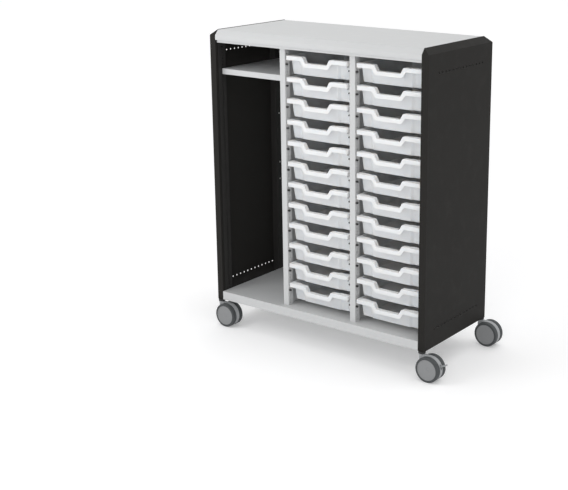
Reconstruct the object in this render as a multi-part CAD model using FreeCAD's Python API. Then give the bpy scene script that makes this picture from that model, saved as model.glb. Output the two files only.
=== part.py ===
"""Mobile three-bay steel tray cabinet on four twin-wheel casters.

X runs along the front, -Y is the open front and +Z is up. The origin is on the floor, under the middle of the
cabinet. Two bays hold twelve sliding trays each, and the left bay holds one adjustable shelf.
"""

import FreeCAD, Part
import math
import os

Vec = FreeCAD.Vector

# Carcass
CABINET_WIDTH = 1093.0  # over the outer faces of the side panels
CABINET_DEPTH = 486.0
PANEL_HEIGHT = 1206.5  # from a side panel's bottom edge to its ridge
FLOOR_GAP = 116.0  # from the floor to a side panel's bottom edge
SHEET = 1.5  # steel sheet of all carcass parts
SIDE_THICKNESS = 30.5
BEVEL_DEPTH = 19.0  # top front and rear bevels, measured along Y
BEVEL_HEIGHT = 24.0
SIDE_LIP = 16.0  # inward lip on a side panel's front and rear edges

# Worktop and the rails under it
WORKTOP_DROP = 2.0  # from the side panels' ridges down to the worktop
WORKTOP_FACE_HEIGHT = 20.0
RAIL_SETBACK = 10.0  # from the worktop's front face to the rail
RAIL_DROP = 12.0  # how far a rail hangs below the worktop's face
RAIL_TOP_DROP = 20.0  # from the ridges down to the rail's top flange
RAIL_DEPTH = 50.0
STIFFENER_WIDTH = 40.0
STIFFENER_END_GAP = 23.0  # from the worktop's front face to a stiffener's end

# Base shelf and back
BASE_HEIGHT = 40.0  # top of the base shelf above the side panel's bottom edge
BASE_FLANGE_HEIGHT = 38.5
BASE_RETURN = 15.0
BACK_TOP_GAP = 1.0  # between the back panel and the worktop's rear return

# Vent holes in the side panels
VENT_COUNT = 14
VENT_PITCH = 25.4
VENT_RADIUS = 3.6
VENT_LOW_HEIGHT = 77.0  # above the panel's bottom edge
VENT_HIGH_DROP = 98.5  # below the ridge

# Slotted posts
DIVIDER_WIDTH = 27.0
POST_DEPTH = 32.0  # divider posts, along Y
POST_SETBACK = 28.0  # from the cabinet's front plane to the dividers' front faces
REAR_POST_SETBACK = 47.0  # from the cabinet's rear plane to the rear faces of the rear posts
SIDE_POST_DEPTH = 47.0
SIDE_POST_TOP_GAP = 6.0  # below the eaves of the side panel
SLOT_PITCH = 12.7
SLOT_WIDTH = 9.0
SLOT_HEIGHT = 3.4
SLOT_FROM_FRONT = 14.5  # from a divider's front face to the middle of its slots
SLOT_END_MARGIN = 10.0

# Adjustable shelf in the left bay
SHELF_DROP = 169.5  # from the ridges down to the shelf's top
SHELF_LIP = 24.0
SHELF_RETURN = 12.0
SHELF_SETBACK = 37.5  # from the cabinet's front plane
SHELF_REAR_SETBACK = 43.0
SHELF_END_GAP = 2.0
CLIP_WIDTH = 13.0
CLIP_HEIGHT = 18.0
CLIP_LEDGE = 12.0
CLIP_FRONT_GAP = 1.0  # between the shelf's front lip and a clip

# Trays
TRAY_SLOTS = 7  # slots of the posts from one tray to the next
TRAY_SIDE_GAP = 9.0  # between a tray's rim and the wall of its bay
TRAY_REAR_GAP = 27.4  # between a tray's rim and the back panel
TRAY_STACK_GAP = 10.4  # between a tray's underside and the rim of the next one
TRAY_WALL = 2.0
TRAY_PROUD = 6.4  # how far the rims stand in front of the dividers
TOP_RIM_DROP = 83.5  # from the ridges down to the top tray's rim
RIM_LIP = 17.0
RIM_CORNER = 4.0
RIM_LIP_WALL = 2.0
BODY_TOP_SIDE_INSET = 5.5  # from the rim's long side to the body, at the rim
BODY_BOTTOM_SIDE_INSET = 10.5
BODY_CORNER = 6.0
BODY_TOP_INSET = 27.0  # from the rim's face to the body's corner parts, at the rim
BODY_BOTTOM_INSET = 37.0
PANEL_PROUD = 6.5  # centre panel in front of the corner parts
PANEL_STEP = 12.0  # width of the slanted step on either side of the panel
PANEL_TOP_WIDTH = 189.0
PANEL_BOTTOM_WIDTH = 175.0
DIP_TOP_WIDTH = 138.0
DIP_FLOOR_WIDTH = 111.0
DIP_DEPTH = 24.0
DIP_SKIRT_TOP_WIDTH = 158.0
DIP_SKIRT_FLOOR_WIDTH = 120.0
DIP_SKIRT_DROP = 24.0  # how much lower the rim's lip hangs under the dip

# Tray runners
RUNNER_OVERLAP = 5.0  # how far a ledge reaches under the tray's rim
RUNNER_WEB = 14.0
RUNNER_GUIDE = 7.0
RUNNER_FRONT_GAP = 2.0  # behind the dividers' front faces
TRAY_RUNNING_GAP = 0.3
RUNNER_CLIP_WIDTH = 9.0  # how far a clip stands out from the wall of the bay
RUNNER_CLIP_HEIGHT = 6.0
RUNNER_CLIP_LENGTH = 10.0
RUNNER_CLIP_DROP = 3.0  # below the runner's web

# Casters
CASTER_INSET = 8.5  # from the cabinet's front or rear plane to the swivel axis
CASTER_TRAIL = 41.0
WHEEL_RADIUS = 53.0
WHEEL_WIDTH = 21.0
HUB_RADIUS = 43.0
WHEEL_CAP = 2.0
WHEEL_EDGE = 2.0
HOUSING_WIDTH = 20.0
HOUSING_RADIUS = 51.5
HOUSING_FLOOR_GAP = 10.0  # the hood is cut off flat above the floor
WHEEL_SIDE_GAP = 0.5
AXLE_RADIUS = 4.0
RUNNING_FIT = 0.05
AXLE_END_GAP = 1.0
NECK_RADIUS = 13.0
NECK_HEIGHT = 31.0
NECK_WHEEL_GAP = 2.0
COLLAR_RADIUS = 15.0
COLLAR_HEIGHT = 8.0
COLLAR_GAP = 0.3
STEM_RADIUS = 4.75
STEM_LENGTH = 56.0
SOCKET_RADIUS = 6.5
SOCKET_LENGTH = 58.0
PIVOT_RADIUS = 4.0
PIVOT_LENGTH = 26.0

# Brake lever on two of the casters
LEVER_PIVOT_X = 36.0  # from the axle
LEVER_PIVOT_Z = 14.0
LEVER_WIDTH = 10.0
LEVER_THICKNESS = 4.5
LEVER_SIDE_GAP = 0.5
LEVER_REACH = 42.0
LEVER_SLOPE = 22.0  # degrees above the horizontal, at rest
LEVER_BOSS_RADIUS = 3.5
LEVER_SLOT_HEIGHT = 20.0
LEVER_SLOT_BACK = 5.0  # from the lever's pivot to the closed end of its slot
PEDAL_WIDTH = 14.0
PEDAL_LENGTH = 10.0
LEVER_PIN_RADIUS = 1.5

# Screws of the back panel
SCREW_RADIUS = 2.0
SCREW_HEAD_RADIUS = 4.0
SCREW_HEAD_HEIGHT = 2.2
SCREW_COLUMNS = 5
SCREW_EDGE = 40.0
SCREW_BASE_HEIGHT = 20.0  # above the side panel's bottom edge

# Levels and planes that several pieces share
HALF_WIDTH = CABINET_WIDTH / 2
HALF_DEPTH = CABINET_DEPTH / 2
INNER_X = HALF_WIDTH - SIDE_THICKNESS
PANEL_BOTTOM = FLOOR_GAP
TOP = PANEL_BOTTOM + PANEL_HEIGHT
WORKTOP_TOP = TOP - WORKTOP_DROP
EAVES = TOP - BEVEL_HEIGHT
FACE_BOTTOM = EAVES - WORKTOP_FACE_HEIGHT
RAIL_BOTTOM = FACE_BOTTOM - RAIL_DROP
RAIL_TOP = TOP - RAIL_TOP_DROP
RAIL_FACE = HALF_DEPTH - RAIL_SETBACK
BASE_TOP = PANEL_BOTTOM + BASE_HEIGHT
BASE_BOTTOM = BASE_TOP - BASE_FLANGE_HEIGHT
BACK_FACE = RAIL_FACE  # outside of the rear rail and of the base shelf's rear flange
BAY_WIDTH = (2 * INNER_X - 2 * DIVIDER_WIDTH) / 3
DIVIDER_X = (BAY_WIDTH + DIVIDER_WIDTH) / 2
TRAY_COLUMN_X = (0.0, BAY_WIDTH + DIVIDER_WIDTH)
POST_FRONT = -HALF_DEPTH + POST_SETBACK
REAR_POST_BACK = HALF_DEPTH - REAR_POST_SETBACK
FRONT_SLOT_Y = POST_FRONT + SLOT_FROM_FRONT
REAR_SLOT_Y = REAR_POST_BACK - SLOT_FROM_FRONT
TRAY_FRONT = POST_FRONT - TRAY_PROUD
TRAY_WIDTH = BAY_WIDTH - 2 * TRAY_SIDE_GAP
TRAY_LENGTH = BACK_FACE - TRAY_REAR_GAP - TRAY_FRONT
TRAY_PITCH = TRAY_SLOTS * SLOT_PITCH
TRAY_HEIGHT = TRAY_PITCH - TRAY_STACK_GAP
TOP_RIM = TOP - TOP_RIM_DROP
TRAY_ROWS = int((TOP_RIM - TRAY_HEIGHT - BASE_TOP) / TRAY_PITCH) + 1
SHELF_TOP = TOP - SHELF_DROP
CASTER_X = HALF_WIDTH - SIDE_THICKNESS / 2
CASTER_Y = HALF_DEPTH - CASTER_INSET
WHEEL_INNER = HOUSING_WIDTH / 2 + WHEEL_SIDE_GAP
COLLAR_BOTTOM = FLOOR_GAP - COLLAR_HEIGHT
NECK_TOP = COLLAR_BOTTOM - COLLAR_GAP
PIVOT_BOTTOM = COLLAR_BOTTOM - PIVOT_LENGTH


def box(x0, x1, y0, y1, z0, z1):
    """Box between two corners."""
    return Part.makeBox(x1 - x0, y1 - y0, z1 - z0, Vec(x0, y0, z0))


def prism_x(points, x0, x1):
    """Outline of (y, z) points, extruded along X."""
    outline = [Vec(x0, y, z) for y, z in points]
    return Part.Face(Part.makePolygon(outline + outline[:1])).extrude(Vec(x1 - x0, 0, 0))


def prism_y(points, y0, y1):
    """Outline of (x, z) points, extruded along Y."""
    outline = [Vec(x, y0, z) for x, z in points]
    return Part.Face(Part.makePolygon(outline + outline[:1])).extrude(Vec(0, y1 - y0, 0))


def prism_z(points, z0, z1):
    """Outline of (x, y) points, extruded along Z."""
    outline = [Vec(x, y, z0) for x, y in points]
    return Part.Face(Part.makePolygon(outline + outline[:1])).extrude(Vec(0, 0, z1 - z0))


def rod(radius, start, direction, length):
    """Cylinder from a start point."""
    return Part.makeCylinder(radius, length, Vec(*start), Vec(*direction))


def fuse(shapes):
    """One solid from shapes that touch or overlap."""
    return shapes[0].multiFuse(shapes[1:]).removeSplitter()


def folded(points, thickness):
    """Closed outline of a folded sheet: the points are its outer line, and the sheet lies on their left."""
    inner = []
    last = len(points) - 1
    for i, (u, v) in enumerate(points):
        before = points[max(i - 1, 0)]
        here = points[i]
        after = points[min(i + 1, last)]
        a = unit(before, here) if i > 0 else unit(here, after)
        b = unit(here, after) if i < last else unit(before, here)
        scale = thickness / (1 + a[0] * b[0] + a[1] * b[1])
        inner.append((u - (a[1] + b[1]) * scale, v + (a[0] + b[0]) * scale))
    return points + inner[::-1]


def unit(start, end):
    """Unit vector between two points of an outline."""
    du, dv = end[0] - start[0], end[1] - start[1]
    length = math.hypot(du, dv)
    return du / length, dv / length


def placed(shape, x, y, z=0.0):
    """A copy of a shape, moved."""
    moved = shape.copy()
    moved.translate(Vec(x, y, z))
    return moved


def mirrored_x(shape):
    """The same piece for the other side of the cabinet."""
    return shape.mirror(Vec(0, 0, 0), Vec(1, 0, 0))


def mirrored_y(shape):
    """The same piece turned to the rear."""
    return shape.mirror(Vec(0, 0, 0), Vec(0, 1, 0))


def solid_from_faces(faces):
    """Closed solid from lists of corner points."""
    shell = Part.Shell([Part.Face(Part.makePolygon([Vec(*p) for p in f + f[:1]])) for f in faces])
    solid = Part.Solid(shell)
    if solid.Volume < 0:
        solid.reverse()
    return solid


def hipped_block(x_in, x_out, half_y, z_bottom, z_eaves):
    """Upright slab whose top slopes from a ridge over its inner face to its outer, front and rear faces."""
    z_ridge = z_eaves + BEVEL_HEIGHT
    low = [(x_in, -half_y), (x_out, -half_y), (x_out, half_y), (x_in, half_y)]
    base = [(x, y, z_bottom) for x, y in low]
    eaves = [(x, y, z_eaves) for x, y in low]
    front_ridge = (x_in, BEVEL_DEPTH - half_y, z_ridge)
    rear_ridge = (x_in, half_y - BEVEL_DEPTH, z_ridge)
    return solid_from_faces([
        base,
        [base[0], base[1], eaves[1], eaves[0]],
        [base[1], base[2], eaves[2], eaves[1]],
        [base[2], base[3], eaves[3], eaves[2]],
        [base[3], base[0], eaves[0], front_ridge, rear_ridge, eaves[3]],
        [eaves[0], eaves[1], front_ridge],
        [eaves[1], eaves[2], rear_ridge, front_ridge],
        [eaves[2], eaves[3], rear_ridge],
    ])


def vent_positions():
    """Centres (y, z) of the two rows of vent holes in a side panel."""
    first = -(VENT_COUNT - 1) * VENT_PITCH / 2
    levels = (PANEL_BOTTOM + VENT_LOW_HEIGHT, TOP - VENT_HIGH_DROP)
    return [(first + i * VENT_PITCH, z) for z in levels for i in range(VENT_COUNT)]


def side_panel():
    """Right side panel: a folded pan that is open to the bay, with a hipped top and vent holes."""
    slope = BEVEL_HEIGHT / SIDE_THICKNESS
    inner_eaves = EAVES - SHEET * (math.hypot(1, slope) - slope)
    outside = hipped_block(INNER_X, HALF_WIDTH, HALF_DEPTH, PANEL_BOTTOM, EAVES)
    hollow = hipped_block(INNER_X - SHEET, HALF_WIDTH - SHEET, HALF_DEPTH - SHEET, PANEL_BOTTOM + SHEET,
                          inner_eaves)
    lips = [box(INNER_X, INNER_X + SHEET, y, y + SIDE_LIP, PANEL_BOTTOM, EAVES)
            for y in (-HALF_DEPTH, HALF_DEPTH - SIDE_LIP)]
    panel = fuse([outside.cut(hollow)] + lips)
    vents = [rod(VENT_RADIUS, (HALF_WIDTH - 2 * SHEET, y, z), (1, 0, 0), 3 * SHEET)
             for y, z in vent_positions()]
    stems = [rod(STEM_RADIUS, (CASTER_X, y, PANEL_BOTTOM - SHEET), (0, 0, 1), 3 * SHEET)
             for y in (-CASTER_Y, CASTER_Y)]
    return panel.cut(vents + stems)


def worktop():
    """Folded steel top with bevelled front and rear edges, whose faces return inwards to the rails."""
    outline = [(RAIL_FACE, FACE_BOTTOM), (HALF_DEPTH, FACE_BOTTOM), (HALF_DEPTH, EAVES),
               (HALF_DEPTH - BEVEL_DEPTH, WORKTOP_TOP), (BEVEL_DEPTH - HALF_DEPTH, WORKTOP_TOP),
               (-HALF_DEPTH, EAVES), (-HALF_DEPTH, FACE_BOTTOM), (-RAIL_FACE, FACE_BOTTOM)]
    return prism_x(folded(outline, SHEET), -INNER_X, INNER_X)


def top_rail():
    """Front rail under the worktop: a channel that is open to the rear."""
    back = RAIL_DEPTH - RAIL_FACE
    outline = [(back, RAIL_TOP), (-RAIL_FACE, RAIL_TOP), (-RAIL_FACE, RAIL_BOTTOM),
               (back, RAIL_BOTTOM)]
    return prism_x(folded(outline, SHEET), -INNER_X, INNER_X)


def worktop_stiffeners():
    """Two channels from rail to rail, over the dividers, that carry the worktop."""
    reach = HALF_DEPTH - STIFFENER_END_GAP
    pieces = []
    for x in (-DIVIDER_X, DIVIDER_X):
        left, right = x - STIFFENER_WIDTH / 2, x + STIFFENER_WIDTH / 2
        roof = WORKTOP_TOP - SHEET
        outline = [(right, RAIL_TOP), (right, roof), (left, roof), (left, RAIL_TOP)]
        pieces.append(prism_y(folded(outline, SHEET), -reach, reach))
    return pieces


def base_shelf():
    """Bottom pan of all three bays, with deep front and rear flanges."""
    outline = [(BACK_FACE - BASE_RETURN, BASE_BOTTOM), (BACK_FACE, BASE_BOTTOM), (BACK_FACE, BASE_TOP),
               (-HALF_DEPTH, BASE_TOP), (-HALF_DEPTH, BASE_BOTTOM), (BASE_RETURN - HALF_DEPTH, BASE_BOTTOM)]
    return prism_x(folded(outline, SHEET), -INNER_X, INNER_X)


def screw_positions():
    """Centres (x, z) of the back panel's screws, in the rear rail and in the base shelf's rear flange."""
    span = 2 * (INNER_X - SCREW_EDGE)
    levels = (PANEL_BOTTOM + SCREW_BASE_HEIGHT, RAIL_BOTTOM + RAIL_DROP / 2)
    return [(-span / 2 + i * span / (SCREW_COLUMNS - 1), z) for z in levels for i in range(SCREW_COLUMNS)]


def screw_holes():
    """Cutters for the screws through the back panel and what it is fastened to."""
    return [rod(SCREW_RADIUS, (x, BACK_FACE - 2 * SHEET, z), (0, 1, 0), 4 * SHEET)
            for x, z in screw_positions()]


def back_panel():
    """Flat sheet behind all three bays."""
    sheet = box(-INNER_X, INNER_X, BACK_FACE, BACK_FACE + SHEET, BASE_BOTTOM, FACE_BOTTOM - BACK_TOP_GAP)
    return sheet.cut(screw_holes())


def back_panel_screws():
    """Pan-head screws that hold the back panel."""
    screws = []
    for x, z in screw_positions():
        head = rod(SCREW_HEAD_RADIUS, (x, BACK_FACE + SHEET, z), (0, 1, 0), SCREW_HEAD_HEIGHT)
        shank = rod(SCREW_RADIUS, (x, BACK_FACE - SHEET, z), (0, 1, 0), 2 * SHEET)
        screws.append(fuse([head, shank]))
    return screws


def slots_through_x(x0, x1, y, z_high):
    """Cutters for one column of slots, from the base shelf up, through walls between two X planes."""
    first = BASE_TOP + SLOT_END_MARGIN
    count = int((z_high - SLOT_END_MARGIN - first) / SLOT_PITCH) + 1
    levels = [first + i * SLOT_PITCH for i in range(count)]
    return [box(x0, x1, y - SLOT_WIDTH / 2, y + SLOT_WIDTH / 2, z - SLOT_HEIGHT / 2, z + SLOT_HEIGHT / 2)
            for z in levels]


def side_post(y_front, slot_y):
    """Slotted channel inside a right side panel: its web faces the bay."""
    top = EAVES - SIDE_POST_TOP_GAP
    outer = HALF_WIDTH - SHEET
    y_back = y_front + SIDE_POST_DEPTH
    outline = [(outer, y_back), (INNER_X, y_back), (INNER_X, y_front), (outer, y_front)]
    post = prism_z(folded(outline, SHEET), PANEL_BOTTOM + SHEET, top)
    return post.cut(slots_through_x(INNER_X - SHEET, INNER_X + 2 * SHEET, slot_y, top))


def side_posts():
    """Four slotted posts, two in each side panel."""
    front = side_post(SIDE_LIP - HALF_DEPTH, FRONT_SLOT_Y)
    rear = side_post(REAR_POST_BACK - SIDE_POST_DEPTH, REAR_SLOT_Y)
    return [front, rear, mirrored_x(front), mirrored_x(rear)]


def divider_posts():
    """Four slotted channels, a front and a rear one for each divider; they open towards each other."""
    half = DIVIDER_WIDTH / 2
    posts = []
    front_end = POST_FRONT + POST_DEPTH
    rear_end = REAR_POST_BACK - POST_DEPTH
    for x in (-DIVIDER_X, DIVIDER_X):
        left, right = x - half, x + half
        front = [(left, front_end), (left, POST_FRONT), (right, POST_FRONT), (right, front_end)]
        rear = [(right, rear_end), (right, REAR_POST_BACK), (left, REAR_POST_BACK), (left, rear_end)]
        for outline, slot_y in ((front, FRONT_SLOT_Y), (rear, REAR_SLOT_Y)):
            post = prism_z(folded(outline, SHEET), BASE_TOP, RAIL_BOTTOM)
            posts.append(post.cut(slots_through_x(left - SHEET, right + SHEET, slot_y, RAIL_BOTTOM)))
    return posts


def divider_webs():
    """Two upright sheets that stand inside the divider posts and close the dividers between them."""
    front, back = POST_FRONT + SHEET, REAR_POST_BACK - SHEET
    return [box(x - SHEET / 2, x + SHEET / 2, front, back, BASE_TOP, RAIL_BOTTOM)
            for x in (-DIVIDER_X, DIVIDER_X)]


def shelf_ends():
    """X planes of the adjustable shelf's two ends."""
    return -INNER_X + SHELF_END_GAP, -DIVIDER_X - DIVIDER_WIDTH / 2 - SHELF_END_GAP


def adjustable_shelf():
    """Folded shelf of the left bay, with a turned-down front and rear lip."""
    front = -HALF_DEPTH + SHELF_SETBACK
    rear = HALF_DEPTH - SHELF_REAR_SETBACK
    lip = SHELF_TOP - SHELF_LIP
    outline = [(rear - SHELF_RETURN, lip), (rear, lip), (rear, SHELF_TOP), (front, SHELF_TOP), (front, lip),
               (front + SHELF_RETURN, lip)]
    return prism_x(folded(outline, SHEET), *shelf_ends())


def shelf_clips():
    """Four angle clips that hook to the posts and carry the shelf."""
    top = SHELF_TOP - SHEET
    front = -HALF_DEPTH + SHELF_SETBACK + SHEET + CLIP_FRONT_GAP
    rear = REAR_SLOT_Y - CLIP_WIDTH / 2
    wall_left, wall_right = -INNER_X, -DIVIDER_X - DIVIDER_WIDTH / 2
    clips = []
    for y in (front, rear):
        left = [(wall_left, top - CLIP_HEIGHT), (wall_left + SHEET, top - CLIP_HEIGHT),
                (wall_left + SHEET, top - SHEET), (wall_left + CLIP_LEDGE, top - SHEET),
                (wall_left + CLIP_LEDGE, top), (wall_left, top)]
        right = [(wall_left + wall_right - x, z) for x, z in left]
        clips += [prism_y(left, y, y + CLIP_WIDTH), prism_y(right, y, y + CLIP_WIDTH)]
    return clips


def tray_rows():
    """Rim heights of the trays of one column, from the top."""
    return [TOP_RIM - i * TRAY_PITCH for i in range(TRAY_ROWS)]


def runner(rim):
    """Right-hand runner of a tray in a bay around x = 0: web on the posts, ledge and guide lip."""
    wall = BAY_WIDTH / 2
    ledge = rim - RIM_LIP - TRAY_RUNNING_GAP
    edge = TRAY_WIDTH / 2 - RUNNER_OVERLAP
    outline = [(wall, ledge - RUNNER_WEB), (wall, ledge), (edge, ledge), (edge, ledge - RUNNER_GUIDE)]
    return prism_y(folded(outline, SHEET), POST_FRONT + RUNNER_FRONT_GAP, REAR_POST_BACK)


def runner_clip(rim):
    """Right-hand locking clip on the post, below a runner's front end."""
    wall = BAY_WIDTH / 2
    front = POST_FRONT + RUNNER_FRONT_GAP
    top = rim - RIM_LIP - TRAY_RUNNING_GAP - RUNNER_WEB - RUNNER_CLIP_DROP
    bottom = top - RUNNER_CLIP_HEIGHT
    return box(wall - RUNNER_CLIP_WIDTH, wall, front, front + RUNNER_CLIP_LENGTH, bottom, top)


def in_both_columns(make):
    """A right-hand piece and its mirror image, at every tray of both columns."""
    pieces = []
    for rim in tray_rows():
        right = make(rim)
        left = mirrored_x(right)
        for x in TRAY_COLUMN_X:
            pieces += [placed(right, x, 0), placed(left, x, 0)]
    return pieces


def body_wire(z, half_width, half_length, radius, panel_half):
    """Tray body's outline at one height: rounded corners, and a centre panel proud of both end walls."""
    mid = TRAY_LENGTH / 2
    step_end = panel_half + PANEL_STEP
    diagonal = radius * (1 - math.sqrt(0.5))
    edges = []
    for side, end in ((1, -1), (1, 1), (-1, 1), (-1, -1)):
        corner = [(panel_half, half_length + PANEL_PROUD), (step_end, half_length),
                  (half_width - radius, half_length), (half_width - diagonal, half_length - diagonal),
                  (half_width, half_length - radius)]
        panel_corner, step_foot, arc_start, arc_middle, arc_end = [
            Vec(side * x, mid + end * y, z) for x, y in corner]
        edges += [Part.makeLine(panel_corner, step_foot), Part.makeLine(step_foot, arc_start),
                  Part.Arc(arc_start, arc_middle, arc_end).toShape()]
    for end in (-1, 1):
        y = mid + end * (half_length + PANEL_PROUD)
        edges.append(Part.makeLine(Vec(-panel_half, y, z), Vec(panel_half, y, z)))
    for side in (-1, 1):
        x, reach = side * half_width, half_length - radius
        edges.append(Part.makeLine(Vec(x, mid - reach, z), Vec(x, mid + reach, z)))
    return Part.Wire(Part.__sortEdges__(edges))


def body_block(z_bottom, z_top, shrink):
    """Tapered tray body between two heights below the rim, or its hollow when shrunk by the wall."""
    half_length = TRAY_LENGTH / 2 - shrink
    radius = BODY_CORNER - shrink
    panel_shrink = shrink * math.tan(math.atan2(PANEL_PROUD, PANEL_STEP) / 2)  # the steps keep their wall
    half_width = TRAY_WIDTH / 2 - shrink
    bottom = body_wire(z_bottom, half_width - BODY_BOTTOM_SIDE_INSET, half_length - BODY_BOTTOM_INSET, radius,
                       PANEL_BOTTOM_WIDTH / 2 - panel_shrink)
    top = body_wire(z_top, half_width - BODY_TOP_SIDE_INSET, half_length - BODY_TOP_INSET, radius,
                    PANEL_TOP_WIDTH / 2 - panel_shrink)
    return Part.makeLoft([bottom, top], True, True)


def rounded_slab(half_width, y0, y1, radius, z0, z1):
    """Plan rectangle with rounded corners, extruded along Z."""
    slab = box(-half_width, half_width, y0, y1, z0, z1)
    uprights = [e for e in slab.Edges if e.BoundBox.ZLength > radius]
    return slab.makeFillet(radius, uprights)


def dip_line(top_half, floor_half, z_top, z_floor, reach):
    """Outline (x, z) of the rim's line with the handle dip, from one side to the other."""
    return [(-reach, z_top), (-top_half, z_top), (-floor_half, z_floor), (floor_half, z_floor),
            (top_half, z_top), (reach, z_top)]


def dipped_slab(half, z_top, top_half, floor_half, depth, z_bottom, y0, y1):
    """Slab whose upper face dips in the middle."""
    line = dip_line(top_half, floor_half, z_top, z_top - depth, half)
    return prism_y(line + [(half, z_bottom), (-half, z_bottom)], y0, y1)


def tray_rim():
    """Rim with its lip, solid inside: the lip hangs lower where the handle dips."""
    half = TRAY_WIDTH / 2
    lowest = -RIM_LIP - DIP_SKIRT_DROP
    line = dip_line(DIP_SKIRT_TOP_WIDTH / 2, DIP_SKIRT_FLOOR_WIDTH / 2, -RIM_LIP, lowest, half)
    front = prism_y(line + [(half, 0), (-half, 0)], 0, TRAY_LENGTH)
    return rounded_slab(half, 0, TRAY_LENGTH, RIM_CORNER, lowest, 0).common(front)


def rim_hollow():
    """Space inside the rim's lip, under the rim's face and its dip."""
    half = TRAY_WIDTH / 2 - RIM_LIP_WALL
    y0, y1 = RIM_LIP_WALL, TRAY_LENGTH - RIM_LIP_WALL
    low = -RIM_LIP - DIP_SKIRT_DROP - TRAY_WALL
    under = dipped_slab(half, -TRAY_WALL, DIP_TOP_WIDTH / 2 + TRAY_WALL, DIP_FLOOR_WIDTH / 2 + TRAY_WALL,
                        DIP_DEPTH, low, y0, y1)
    return rounded_slab(half, y0, y1, RIM_CORNER - RIM_LIP_WALL, low, 0).common(under)


def handle_dips():
    """Cutter for the dips in both ends of the rim and of the body."""
    top, bottom = DIP_TOP_WIDTH / 2, DIP_FLOOR_WIDTH / 2
    outline = [(-top, TRAY_WALL), (-top, 0), (-bottom, -DIP_DEPTH), (bottom, -DIP_DEPTH), (top, 0),
               (top, TRAY_WALL)]
    return prism_y(outline, -TRAY_WALL, TRAY_LENGTH + TRAY_WALL)


def tray():
    """Moulded tray, with its rim's front face at y = 0 and its rim's top at z = 0."""
    body = body_block(-TRAY_HEIGHT, 0, 0)
    hollow = body_block(TRAY_WALL - TRAY_HEIGHT, 0, TRAY_WALL)
    rim = tray_rim().cut(rim_hollow().cut(body))
    return rim.fuse(body).cut([hollow, handle_dips()]).removeSplitter()


def caster_stem():
    """Fixed stem of a caster, with its collar and the pivot pin below, around the swivel axis."""
    pin = rod(PIVOT_RADIUS, (0, 0, PIVOT_BOTTOM), (0, 0, 1), PIVOT_LENGTH + COLLAR_HEIGHT)
    collar = rod(COLLAR_RADIUS, (0, 0, COLLAR_BOTTOM), (0, 0, 1), COLLAR_HEIGHT)
    stem = rod(STEM_RADIUS, (0, 0, COLLAR_BOTTOM), (0, 0, 1), COLLAR_HEIGHT + STEM_LENGTH)
    return fuse([pin, collar, stem])


def caster_socket():
    """Tube in the side panel that grips a caster's stem."""
    floor = PANEL_BOTTOM + SHEET
    tube = rod(SOCKET_RADIUS, (0, 0, floor), (0, 0, 1), SOCKET_LENGTH)
    return tube.cut(rod(STEM_RADIUS, (0, 0, floor - SHEET), (0, 0, 1), SOCKET_LENGTH + 2 * SHEET))


def wheel_clearance():
    """Space of both wheels beside the housing's plate, with a gap round their treads."""
    radius = WHEEL_RADIUS + NECK_WHEEL_GAP
    inner = HOUSING_WIDTH / 2
    sides = [rod(radius, (CASTER_TRAIL, y, WHEEL_RADIUS), (0, 1, 0), NECK_RADIUS)
             for y in (inner, -inner - NECK_RADIUS)]
    return Part.makeCompound(sides)


def caster_housing(with_brake):
    """Hood between the two wheels, with the neck that swivels on the pivot pin."""
    half = HOUSING_WIDTH / 2
    hood = rod(HOUSING_RADIUS, (CASTER_TRAIL, -half, WHEEL_RADIUS), (0, 1, 0), HOUSING_WIDTH)
    foot = NECK_TOP - NECK_HEIGHT
    bridge = box(0, CASTER_TRAIL, -half, half, foot, WHEEL_RADIUS + HOUSING_RADIUS)
    neck = rod(NECK_RADIUS, (0, 0, foot), (0, 0, 1), NECK_HEIGHT).cut(wheel_clearance())
    bore_bottom = PIVOT_BOTTOM - AXLE_END_GAP
    bore = rod(PIVOT_RADIUS + RUNNING_FIT, (0, 0, bore_bottom), (0, 0, 1), PIVOT_LENGTH + NECK_HEIGHT)
    axle_hole = rod(AXLE_RADIUS, (CASTER_TRAIL, -HOUSING_WIDTH, WHEEL_RADIUS), (0, 1, 0), 2 * HOUSING_WIDTH)
    rear_end, front_end = CASTER_TRAIL - HOUSING_RADIUS, CASTER_TRAIL + HOUSING_RADIUS
    below = box(rear_end, front_end, -half, half, 0, HOUSING_FLOOR_GAP)
    housing = fuse([hood, bridge, neck]).cut([bore, axle_hole, below])
    return with_lever_seat(housing) if with_brake else housing


def with_lever_seat(housing):
    """A housing with the brake lever's slot and its cross pin."""
    half_slot = LEVER_WIDTH / 2 + LEVER_SIDE_GAP
    pivot_x, pivot_z = CASTER_TRAIL + LEVER_PIVOT_X, WHEEL_RADIUS + LEVER_PIVOT_Z
    slot = box(pivot_x - LEVER_SLOT_BACK, CASTER_TRAIL + HOUSING_RADIUS, -half_slot, half_slot,
               pivot_z - LEVER_SLOT_HEIGHT / 2, pivot_z + LEVER_SLOT_HEIGHT / 2)
    pin = rod(LEVER_PIN_RADIUS, (pivot_x, -HOUSING_WIDTH / 2, pivot_z), (0, 1, 0), HOUSING_WIDTH)
    return fuse([housing.cut(slot), pin])


def caster_axle():
    """Steel axle through the housing, with a wheel on each end."""
    reach = WHEEL_INNER + WHEEL_WIDTH - WHEEL_CAP - AXLE_END_GAP
    return rod(AXLE_RADIUS, (CASTER_TRAIL, -reach, WHEEL_RADIUS), (0, 1, 0), 2 * reach)


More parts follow.
